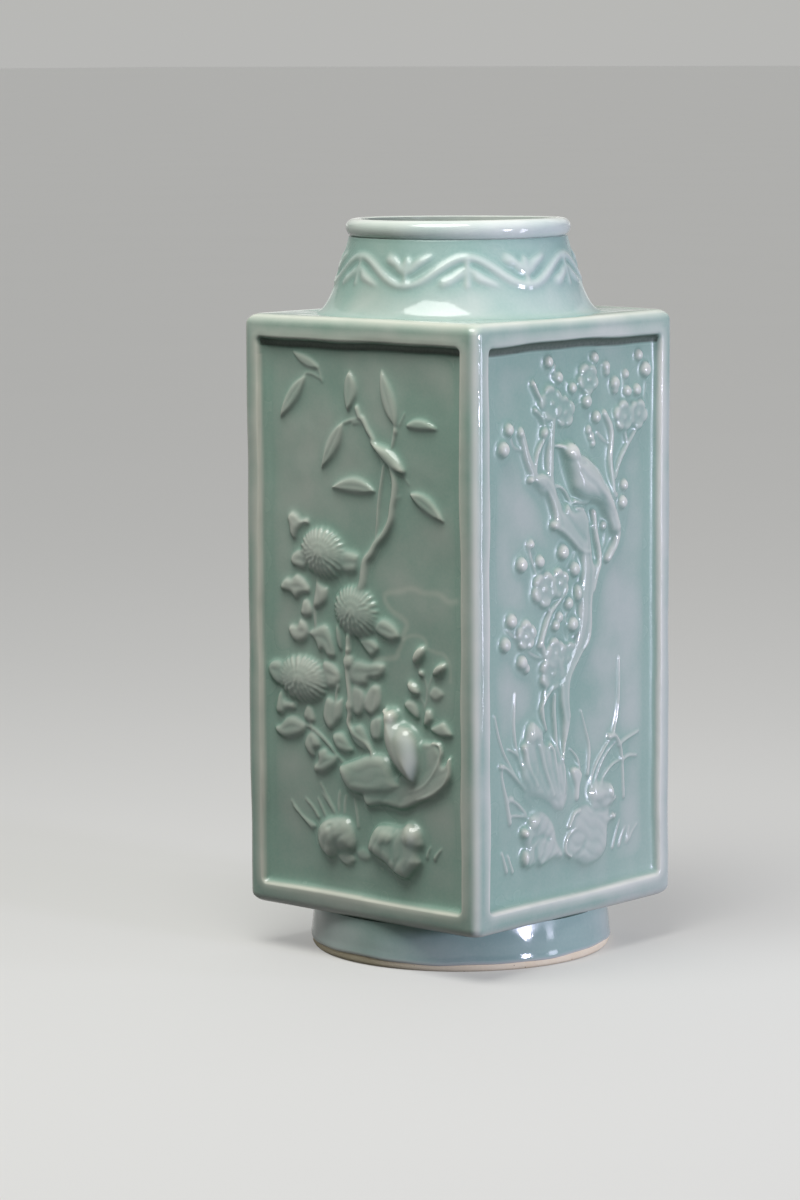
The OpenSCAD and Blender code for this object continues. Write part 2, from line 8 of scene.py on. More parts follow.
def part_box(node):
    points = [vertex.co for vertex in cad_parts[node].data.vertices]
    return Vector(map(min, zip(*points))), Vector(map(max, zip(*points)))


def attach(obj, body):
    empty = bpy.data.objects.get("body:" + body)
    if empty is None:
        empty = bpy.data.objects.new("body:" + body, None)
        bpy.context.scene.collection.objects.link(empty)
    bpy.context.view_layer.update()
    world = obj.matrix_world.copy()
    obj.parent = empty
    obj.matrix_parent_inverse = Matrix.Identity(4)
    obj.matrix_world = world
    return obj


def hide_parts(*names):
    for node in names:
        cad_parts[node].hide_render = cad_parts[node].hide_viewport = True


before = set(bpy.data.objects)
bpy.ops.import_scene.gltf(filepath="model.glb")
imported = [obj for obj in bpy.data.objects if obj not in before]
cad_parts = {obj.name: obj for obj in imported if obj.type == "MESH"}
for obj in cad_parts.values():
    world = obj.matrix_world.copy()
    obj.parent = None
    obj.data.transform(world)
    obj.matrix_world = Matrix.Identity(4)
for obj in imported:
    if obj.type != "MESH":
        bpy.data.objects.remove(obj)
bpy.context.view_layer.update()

# Foot ring
# A thrown ring of porcelain clay, luted under the body with slip. It is glazed inside and out and wiped
# bare where it stands, so a narrow wavy band of pale biscuit shows at the table.

millimetre = 0.001
foot_swell = 1.4
foot_curve = math.radians(115)
foot_bevel = 1.2
foot_thickness = 7.0
bare_band = 2.9
glaze_edge = 0.3
glaze_roll_h = 2.9


def node_box(name):
    """Lowest and highest corner of a piece of the frame, in millimetres."""
    return [np.array(corner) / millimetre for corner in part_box(name)]


def grid_faces(rows, cols, wrap_rows, wrap_cols):
    """Four-sided faces of a grid of points, closed on itself along its rows or columns where asked."""
    row, col = np.meshgrid(np.arange(rows if wrap_rows else rows - 1),
                           np.arange(cols if wrap_cols else cols - 1), indexing="ij")
    next_row = (row + 1) % rows
    next_col = (col + 1) % cols
    corners = [row * cols + col, row * cols + next_col, next_row * cols + next_col, next_row * cols + col]
    return np.stack(corners, axis=-1).reshape(-1, 4)


def new_piece(name, points, quads, caps=()):
    """A smooth mesh object from points in millimetres, four-sided faces and any many-sided caps."""
    corners = np.concatenate([quads.ravel(), *caps]).astype(np.int32)
    sizes = np.array([4] * len(quads) + [len(cap) for cap in caps], np.int32)
    mesh = bpy.data.meshes.new(name)
    mesh.vertices.add(len(points))
    mesh.vertices.foreach_set("co", (points * millimetre).ravel())
    mesh.loops.add(len(corners))
    mesh.loops.foreach_set("vertex_index", corners)
    mesh.polygons.add(len(sizes))
    mesh.polygons.foreach_set("loop_start", (np.cumsum(sizes) - sizes).astype(np.int32))
    mesh.update(calc_edges=True)
    mesh.shade_smooth()
    piece = bpy.data.objects.new(name, mesh)
    bpy.context.scene.collection.objects.link(piece)
    return piece


def full_turn(count):
    """Evenly spaced angles, once round the vase's axis."""
    return np.linspace(0, 2 * math.pi, count, endpoint=False)


def ring_points(angles, radius, height):
    """A ring of points round the vase's axis. Its radius and height may change with the angle."""
    radius = radius + 0 * angles
    return np.stack([radius * np.cos(angles), radius * np.sin(angles), height + 0 * angles], axis=-1)


def turned_piece(name, rings, sharp=50):
    """A closed thrown piece from rings of points, up its outside, over its top and down its inside. Edges
    past the sharp angle, in degrees, aren't shaded smooth."""
    rows, cols, _ = rings.shape
    faces = grid_faces(rows, cols, wrap_rows=True, wrap_cols=True)
    piece = new_piece(name, rings.reshape(-1, 3), faces)
    piece.data.set_sharp_from_angle(angle=math.radians(sharp))
    return piece


def mark_glaze(piece, pool, thin):
    """Says how the glaze lies at each point: pooled in hollows and thinned on crests and edges, with
    painted shade added where it darkens like pooled glaze and painted light where it whitens like thinned
    glaze.
    """
    for name, values in (("pool", pool), ("thin", thin)):
        layer = piece.data.attributes.new(name, "FLOAT", "POINT")
        layer.data.foreach_set("value", np.clip(values, 0, 1).ravel().astype(np.float32))


def colour(code):
    """Linear colour from a hex code."""
    channels = [int(code[i:i + 2], 16) / 255 for i in (1, 3, 5)]
    linear = [c / 12.92 if c <= 0.04045 else ((c + 0.055) / 1.055) ** 2.4 for c in channels]
    return (*linear, 1.0)


def place_node(tree, kind, inputs=(), **options):
    """A shader node with its options set, and its inputs set or linked."""
    node = tree.nodes.new("ShaderNode" + kind)
    for option, value in options.items():
        setattr(node, option, value)
    for socket, value in dict(inputs).items():
        if isinstance(value, bpy.types.NodeSocket):
            tree.links.new(value, node.inputs[socket])
        else:
            node.inputs[socket].default_value = value
    return node


def noise(tree, spot, scale, detail=2.0):
    """Output of a noise node, between 0 and 1."""
    return place_node(tree, "TexNoise", {"Vector": spot, "Scale": scale, "Detail": detail}).outputs["Fac"]


def calculate(tree, operation, a, b=0.0):
    """Output of a math node, kept between 0 and 1."""
    return place_node(tree, "Math", {0: a, 1: b}, operation=operation, use_clamp=True).outputs[0]


def blend_colours(tree, share, a, b):
    """Output of a colour mix node."""
    return place_node(tree, "Mix", {0: share, 6: a, 7: b}, data_type="RGBA").outputs[2]


def new_group(name, inputs, outputs):
    """An empty shader node group with named sockets, and its two end nodes."""
    group = bpy.data.node_groups.new(name, "ShaderNodeTree")
    for socket, kind in inputs:
        group.interface.new_socket(socket, in_out="INPUT", socket_type=kind)
    for socket, kind in outputs:
        group.interface.new_socket(socket, in_out="OUTPUT", socket_type=kind)
    return group, group.nodes.new("NodeGroupInput"), group.nodes.new("NodeGroupOutput")


# The glaze is milky and cloudy. It is greener and less bright where it pools, dark in the sharpest hollows,
# nearly white where it is thin, and has a few dark pinholes. The same colours also paint light and shade:
# the pooled and deep colours follow a mask that also holds painted shade and painted shadow, and the
# thinned colour follows a mask that also holds painted light on the panel rims.
celadon, given, result = new_group(
    "Celadon glaze",
    [("Body", "NodeSocketColor"), ("Pooled", "NodeSocketColor"), ("Deep", "NodeSocketColor"),
     ("Thinned", "NodeSocketColor"), ("Pool", "NodeSocketFloat"), ("Thin", "NodeSocketFloat")],
    [("Color", "NodeSocketColor"), ("Roughness", "NodeSocketFloat"), ("Ripple", "NodeSocketFloat")])
given_pool = given.outputs["Pool"]
given_thin = given.outputs["Thin"]
glaze_spot = place_node(celadon, "TexCoord").outputs["Object"]
run_spot = place_node(celadon, "Mapping", {
    "Vector": glaze_spot, "Scale": (1.0, 1.0, 0.16)}).outputs["Vector"]
cloud = noise(celadon, glaze_spot, scale=26.0, detail=4.0)
run = noise(celadon, run_spot, scale=75.0)
ripple = noise(celadon, glaze_spot, scale=48.0)
grain = noise(celadon, glaze_spot, scale=900.0)
cells = place_node(celadon, "TexVoronoi", {"Vector": glaze_spot, "Scale": 52.0})

patches = place_node(celadon, "MapRange", {
    "Value": cloud, "From Min": 0.38, "From Max": 0.62, "To Max": 0.85}).outputs[0]
thick_runs = calculate(celadon, "ADD", run, 0.45)
# The pooled and deep colours are mixed in by the pool mask, so they also paint the shade and shadow it
# holds; the thinned colour is mixed in by the thin mask, so it also paints the light it holds on the panel
# rims
depth = calculate(celadon, "MULTIPLY", calculate(celadon, "MULTIPLY", given_pool, 2.0), thick_runs)
pit = calculate(celadon, "MULTIPLY", calculate(celadon, "SUBTRACT", given_pool, 0.5), 2.0)
bareness = calculate(celadon, "MULTIPLY", given_thin, calculate(celadon, "ADD", ripple, 0.45))
speckle = calculate(celadon, "MULTIPLY", grain, 0.12)
cell_pick = place_node(celadon, "SeparateColor", {0: cells.outputs["Color"]}).outputs[0]
rare = calculate(celadon, "GREATER_THAN", cell_pick, 0.88)
dot = calculate(celadon, "LESS_THAN", cells.outputs["Distance"], 0.022)
pinhole = calculate(celadon, "MULTIPLY", dot, rare)

tone = given.outputs["Body"]
for amount, depth_colour in (
        (patches, given.outputs["Pooled"]), (depth, given.outputs["Pooled"]), (pit, given.outputs["Deep"]),
        (bareness, given.outputs["Thinned"]), (speckle, given.outputs["Thinned"]),
        (pinhole, colour("#4a4238"))):
    tone = blend_colours(celadon, amount, tone, depth_colour)
celadon.links.new(tone, result.inputs["Color"])
sheen = place_node(celadon, "MapRange", {"Value": ripple, "To Min": 0.04, "To Max": 0.1}).outputs[0]
dullness = calculate(celadon, "MULTIPLY", given_pool, 0.5)
celadon.links.new(calculate(celadon, "ADD", sheen, dullness), result.inputs["Roughness"])
celadon.links.new(blend_colours(celadon, 0.03, ripple, grain), result.inputs["Ripple"])


def glazed(name, **depths):
    """A celadon material with its colours from thick glaze to thinned glaze, which also serve as painted
    shade and painted light.
    """
    material = bpy.data.materials.new(name)
    material.use_nodes = True
    tree = material.node_tree
    shader = tree.nodes["Principled BSDF"]
    glaze = place_node(tree, "Group", node_tree=celadon)
    for socket, code in depths.items():
        glaze.inputs[socket.capitalize()].default_value = colour(code)
    for socket in ("Pool", "Thin"):
        lie = place_node(tree, "Attribute", attribute_name=socket.lower()).outputs["Fac"]
        tree.links.new(lie, glaze.inputs[socket])
    bump = place_node(tree, "Bump", {
        "Height": glaze.outputs["Ripple"], "Strength": 0.5, "Distance": 0.0012})
    tree.links.new(glaze.outputs["Color"], shader.inputs["Base Color"])
    tree.links.new(glaze.outputs["Roughness"], shader.inputs["Roughness"])
    tree.links.new(bump.outputs["Normal"], shader.inputs["Normal"])
    shader.inputs["IOR"].default_value = 1.5
    return material


foot_glaze = glazed("foot_glaze", body="#a7b9b5", pooled="#82a29b", deep="#4a6660", thinned="#d3d5cf")

biscuit = bpy.data.materials.new("bare_biscuit")
biscuit.use_nodes = True
clay_nodes = biscuit.node_tree
clay_shader = clay_nodes.nodes["Principled BSDF"]
clay_spot = place_node(clay_nodes, "TexCoord").outputs["Object"]
clay_cloud = noise(clay_nodes, clay_spot, scale=120.0, detail=4.0)
clay_grit = noise(clay_nodes, clay_spot, scale=1500.0, detail=3.0)
clay_tone = blend_colours(clay_nodes, clay_cloud, colour("#e6d6b2"), colour("#f5edd2"))
clay_cells = place_node(clay_nodes, "TexVoronoi", {"Vector": clay_spot, "Scale": 330.0}).outputs["Distance"]
clay_speck = calculate(clay_nodes, "LESS_THAN", clay_cells, 0.09)
clay_nodes.links.new(blend_colours(clay_nodes, clay_speck, clay_tone, colour("#8a7458")),
                     clay_shader.inputs["Base Color"])
clay_bump = place_node(clay_nodes, "Bump", {"Height": clay_grit, "Strength": 0.5, "Distance": 0.0003})
clay_nodes.links.new(clay_bump.outputs["Normal"], clay_shader.inputs["Normal"])
clay_shader.inputs["Roughness"].default_value = 0.82

foot_high = node_box("foot_ring")[1]
foot_h = foot_high[2]
foot_top_r = foot_high[0] - foot_swell
foot_bore_r = foot_top_r - foot_thickness


def foot_radius(height):
    """Radius of the outside of the foot at a height above the table."""
    return foot_top_r + foot_swell * np.sin(foot_curve * (1 - height / foot_h))


foot_turn = full_turn(256)
glaze_line = (bare_band + 0.35 * np.sin(3 * foot_turn + 1) + 0.22 * np.sin(7 * foot_turn)
              + 0.12 * np.sin(16 * foot_turn + 2))
foot_rings = []
foot_marks = []


def foot_ring_at(radius, height, thin=0.0, pool=0.0):
    """Adds a ring of points to the foot's profile, with its glaze."""
    foot_rings.append(ring_points(foot_turn, radius, height))
    foot_marks.append((pool, thin))


# bare standing edge, and the wavy line where the glaze was wiped off
foot_ring_at(foot_bore_r + foot_bevel, 0.0)
foot_ring_at(foot_radius(0) - foot_bevel, 0.0)
foot_ring_at(foot_radius(0) - 0.3 * foot_bevel - glaze_edge, 0.4 * foot_bevel)
foot_ring_at(foot_radius(foot_bevel) - glaze_edge, foot_bevel)
foot_ring_at(foot_radius(glaze_line) - glaze_edge, glaze_line - 0.1)
foot_ring_at(foot_radius(glaze_line) - 0.05, glaze_line, thin=0.9)
bare_outside = len(foot_rings) - 1

# thick roll of glaze above the line, then the glazed outside and inside
for lift, roll, thin in ((0.4, 0.24, 0.6), (0.9, 0.34, 0.2), (1.5, 0.3, 0.0), (2.2, 0.16, 0.0),
                         (glaze_roll_h, 0.04, 0.0)):
    foot_ring_at(foot_radius(glaze_line + lift) + roll, glaze_line + lift, thin)
for share in np.linspace(0.09, 1.0, 11):
    ring_h = glaze_line + glaze_roll_h + (foot_h - glaze_line - glaze_roll_h) * share
    foot_ring_at(foot_radius(ring_h), ring_h, pool=max(0.0, share - 0.6))
for share in np.linspace(1.0, 0.0, 6):
    foot_ring_at(foot_bore_r, bare_band + (foot_h - bare_band) * share, thin=0.1, pool=0.2)
bare_inside = len(foot_rings) - 1
foot_ring_at(foot_bore_r + glaze_edge, bare_band - 0.2)
foot_ring_at(foot_bore_r + glaze_edge, foot_bevel)

foot = turned_piece("glazed_foot_ring", np.array(foot_rings))
foot.data.materials.append(foot_glaze)
foot.data.materials.append(biscuit)
for face in foot.data.polygons:
    face_row = face.index // len(foot_turn)
    face.material_index = int(face_row < bare_outside or face_row >= bare_inside)
pools, thins = np.array(foot_marks).T
mark_glaze(foot, np.repeat(pools, len(foot_turn)), np.repeat(thins, len(foot_turn)))
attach(foot, "root")
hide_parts("foot_ring")

# Base slab and seam coils
# A square slab of clay closes the body between its walls. Soft coils of clay are pressed with a finger
# into every inner seam, so that the luted slabs hold. They show only through the mouth, under a thin
# poured glaze.

inner_glaze = glazed("poured_inner_glaze", body="#b4c6bd", pooled="#93b3a6", deep="#5c7a6e",
                     thinned="#d5dcd5")
for inner_node in ("base_slab", "corner_seam_coils", "base_seam_coils", "shoulder_seam_coils"):
    inner_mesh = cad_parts[inner_node].data
    inner_mesh.materials.clear()
    inner_mesh.materials.append(inner_glaze)

# Walls
# Four slabs pressed in moulds, mitred at the corners and luted with slip. Each has a plain frame round a
# sunk panel, on which moulded sprigs of flowers, rocks and a bird are stuck with slip. One celadon glaze
# runs over all of it.

wall_low, wall_high = node_box("front_wall")
half_w = wall_high[0]
wall_foot = wall_low[2]
wall_top = wall_high[2]
wall_t = half_w - node_box("base_slab")[1][0]
edge_r = 4.0
frame_side = 9.5
frame_end = 10.0
panel_depth = 3.2
panel_border = 0.9
panel_corner_r = 1.5
border_slope = 1.9
head_slope = 1.1
head_gap_reach = 2.7
panel_half = half_w - frame_side
panel_foot = wall_foot + frame_end
panel_head = wall_top - frame_end
neck_seat_r = 53.0
raster = 0.25
far_below = -9.0


def smooth_line(points, closed=False):
    """A smooth line through the given points."""
    points = np.array(points, float)
    if closed:
        ends = np.concatenate([points[-1:], points, points[:2]])
    else:
        ends = np.concatenate([2 * points[:1] - points[1:2], points, 2 * points[-1:] - points[-2:-1]])
    line = []
    for a, b, c, d in zip(ends, ends[1:], ends[2:], ends[3:]):
        for t in np.arange(0, 1, 0.2):
            line.append(b + 0.5 * t * (c - a + t * (2 * a - 5 * b + 4 * c - d + t * (3 * (b - c) + d - a))))
    if not closed:
        line.append(points[-1])
    return np.array(line)


def segment_gap(a, b, u, z):
    """Distance of each place from the straight stretch between two points."""
    run = b - a
    t = np.clip(((u - a[0]) * run[0] + (z - a[1]) * run[1]) / (run @ run), 0, 1)
    return np.hypot(u - a[0] - t * run[0], z - a[1] - t * run[1])


def turned_places(u, z, middle, degrees):
    """Places measured from a middle point, along a slanting line and across it."""
    c = math.cos(math.radians(degrees))
    s = math.sin(math.radians(degrees))
    return (u - middle[0]) * c + (z - middle[1]) * s, (z - middle[1]) * c - (u - middle[0]) * s


def blurred(heights, spread):
    """Heights softened over a spread in millimetres."""
    pad = int(4 * spread / raster) + 1
    padded = np.pad(heights, pad, mode="edge")
    up = np.fft.fftfreq(padded.shape[0])[:, None]
    across = np.fft.rfftfreq(padded.shape[1])[None, :]
    keep = np.exp(-2 * (math.pi * spread / raster) ** 2 * (up ** 2 + across ** 2))
    soft = np.fft.irfft2(np.fft.rfft2(padded) * keep, padded.shape)
    return soft[pad:-pad, pad:-pad]


def domed(share):
    """Section of a rounded edge: a quarter of an ellipse from 0 at the edge to 1 at full height, and below
    0 outside."""
    t = np.clip(share, 0, 1)
    return np.sqrt(t * (2 - t)) + 1.5 * np.minimum(share, 0)


def rock_clefts(u, z, slope, thickness):
    """Wavy clefts between the beds of a rock, and weaker joints across them, from 0 to about 1."""
    along, bed = turned_places(u, z, (0.0, 0.0), slope)
    along = along / thickness
    bed = bed / thickness
    bed = bed + 0.3 * np.sin(0.7 * along) + 0.14 * np.sin(2.3 * along + 2 * bed)
    cleft = (1 - np.abs(np.sin(math.pi * bed))) ** 2
    joint = (1 - np.abs(np.sin(1.1 * along + 0.8 * np.sin(2 * bed)))) ** 4
    return cleft + 0.3 * joint


class Clay:
    """A flat sheet of clay with relief built up on it, u across and z up, in millimetres. Places are given
    as they look from one side, so a raised form leans over. Lean is how far it leans for each millimetre of
    its height."""

    def __init__(self, low, high, lean):
        self.across = np.arange(low[0], high[0] + raster / 2, raster)
        self.up = np.arange(low[1], high[1] + raster / 2, raster)
        self.height = np.zeros((len(self.up), len(self.across)))
        self.milk = np.zeros(self.height.shape)
        self.lean = np.array(lean)

    def part(self, low, high):
        """The rows and columns of the sheet between two corners, and the places there."""
        cols = slice(*np.searchsorted(self.across, (low[0], high[0])))
        rows = slice(*np.searchsorted(self.up, (low[1], high[1])))
        return (rows, cols), np.meshgrid(self.across[cols], self.up[rows])

    def build_up(self, low, high, form, blend):
        """Adds a form, softly joined to what is there already."""
        part, places = self.part(low, high)
        old = self.height[part]
        rise = np.maximum(form(*places), far_below) - old
        share = np.clip(0.5 + 0.5 * rise / blend, 0, 1)
        self.height[part] = old + share * rise + blend * share * (1 - share)

    def ridge(self, points, width, height, tip=1.0, blend=0.5):
        """A round-backed stem or twig along a line, its width running to width * tip."""
        line = smooth_line(points) + 0.7 * height * self.lean
        halves = np.linspace(width, width * tip, len(line)) / 2

        def form(u, z):
            best = np.full(u.shape, far_below)
            for a, b, half in zip(line, line[1:], halves):
                best = np.maximum(best, height * domed(1 - segment_gap(a, b, u, z) / half))
            return best

        self.build_up(line.min(0) - width, line.max(0) + width, form, blend)

    def near(self, points, width):
        """The part of the sheet round a line, and a share there, from 1 on the line to 0 beside it."""
        line = smooth_line(points)
        part, (u, z) = self.part(line.min(0) - 2 * width, line.max(0) + 2 * width)
        gap = np.min([segment_gap(a, b, u, z) for a, b in zip(line, line[1:])], axis=0)
        return part, np.exp(-(2 * gap / width) ** 2)

    def groove(self, points, width, depth):
        """A line drawn into the clay with a tool."""
        part, share = self.near(points, width)
        self.height[part] -= depth * share

    def seam(self, points, width, strength):
        """A milky line where two runs of glaze met."""
        part, share = self.near(points, width)
        self.milk[part] += strength * share

    def leaf(self, base, tip, width, height, bow=0.0):
        """A pointed blade with a sunk midrib, bowed to one side."""
        base = np.array(base) + height * self.lean
        tip = np.array(tip) + height * self.lean
        run = tip - base
        length = math.hypot(*run)

        def form(u, z):
            x = ((u - base[0]) * run[0] + (z - base[1]) * run[1]) / length ** 2
            y = ((z - base[1]) * run[0] - (u - base[0]) * run[1]) / length - 4 * bow * x * (1 - x)
            half = 0.5 * width * np.sin(math.pi * np.clip(x, 0.02, 0.98) ** 0.85) ** 0.8
            blade = height * domed(1.3 * (1 - np.abs(y) / half))
            midrib = 0.14 * height * np.exp(-(y / 0.4) ** 2)
            beyond = length * np.maximum(np.maximum(-x, x - 1), 0)
            return blade - midrib - 3 * beyond

        reach = width + abs(bow)
        self.build_up(np.minimum(base, tip) - reach, np.maximum(base, tip) + reach, form, 0.35)

    def lump(self, centre, size, height, turn=0.0, fullness=2.0, lobes=0, cut=0.0, blend=0.5):
        """An oval pad of clay, flatter on top the fuller it is, its edge cut into lobes where asked."""
        middle = np.array(centre) + 0.7 * height * self.lean

        def form(u, z):
            along, over = turned_places(u, z, middle, turn)
            x = along / size[0]
            y = over / size[1]
            rho = np.hypot(x, y) / (1 - cut + cut * np.cos(lobes * np.arctan2(y, x)))
            return height * domed(1 - rho ** (fullness / 2))

        self.build_up(middle - 1.6 * max(size), middle + 1.6 * max(size), form, blend)

    def blossom(self, centre, radius, height, turn=0.0):
        """A prunus flower: five round petals with raised rims, parted by creases, round a few stamens."""
        middle = np.array(centre) + 0.7 * height * self.lean

        def form(u, z):
            gap = np.hypot(u - middle[0], z - middle[1])
            angle = np.arctan2(z - middle[1], u - middle[0]) - math.radians(turn)
            petal = np.abs(np.cos(2.5 * angle)) ** 0.7
            rho = gap / (radius * (0.82 + 0.2 * petal) * (1 + 0.06 * np.sin(angle + turn)))
            crease = 0.3 * (1 - petal) * np.clip(2 * rho - 0.4, 0, 1)
            cup = 0.74 + 0.26 * np.exp(-((rho - 0.76) / 0.26) ** 2) - crease
            stamens = 0.3 * np.exp(-(gap / (0.2 * radius)) ** 2)
            return height * np.minimum(cup + stamens, 5 * (1.06 - rho))

        self.build_up(middle - 1.4 * radius, middle + 1.4 * radius, form, 0.4)

    def chrysanthemum(self, centre, size, height, turn=0.0):
        """A full, domed flower head of four rings of narrow petals."""
        middle = np.array(centre) + 0.15 * height * self.lean

        def form(u, z):
            along, over = turned_places(u, z, middle, turn)
            x = along / size[0]
            y = over / size[1]
            rho = np.hypot(x, y)
            angle = np.arctan2(y - 0.12, x)
            angle = angle + 0.05 * np.sin(3 * angle + turn) + 0.04 * np.sin(5 * angle)
            head = 0.42 * np.maximum(1 - rho ** 2, 0)
            for ring, petals in ((1.0, 13), (0.74, 12), (0.48, 9), (0.24, 5)):
                cleft = (1 - np.abs(np.cos(petals * angle + 4 * ring))) ** 1.5
                edge = ring * (1 - 0.1 * cleft)
                if ring == 1.0:
                    drop = 1.5 * np.maximum(rho - edge, 0)
                    head = head + (0.42 * np.sqrt(np.maximum(1 - (rho / edge) ** 6, 0)) - drop)
                else:
                    head = head + 0.055 * np.clip((edge - rho) / 0.07, 0, 1)
                head = head - 0.16 * cleft * np.clip(1.3 - np.abs(rho - ring + 0.14) / 0.15, 0, 1)
            return height * head

        self.build_up(middle - 1.5 * max(size), middle + 1.5 * max(size), form, 0.3)

    def pillow(self, outline, height, soft, lean=0.5, blend=0.7, beds=None):
        """A rounded form on an outline, its edge rising over a soft width. A rock has beds: their slope in
        degrees, their thickness and the depth of the clefts between them."""
        edge = smooth_line(outline, closed=True) + lean * height * self.lean

        def form(u, z):
            gap = np.full(u.shape, np.inf)
            inside = np.zeros(u.shape, bool)
            for a, b in zip(edge, np.roll(edge, -1, axis=0)):
                gap = np.minimum(gap, segment_gap(a, b, u, z))
                crosses = (a[1] > z) != (b[1] > z)
                rise = b[1] - a[1] or 1.0
                inside ^= crosses & (u < a[0] + (z - a[1]) / rise * (b[0] - a[0]))
            lifted = height * domed(np.where(inside, gap, -gap) / soft)
            if beds:
                slope, thickness, depth = beds
                lifted = lifted - depth * np.clip(gap / soft, 0, 1) * rock_clefts(u, z, slope, thickness)
            return lifted

        self.build_up(edge.min(0) - 2 * soft, edge.max(0) + 2 * soft, form, blend)


def new_panel(lean):
    """The flat clay of one wall's face."""
    return Clay((edge_r - half_w, wall_foot + edge_r), (half_w - edge_r, wall_top - edge_r), lean)


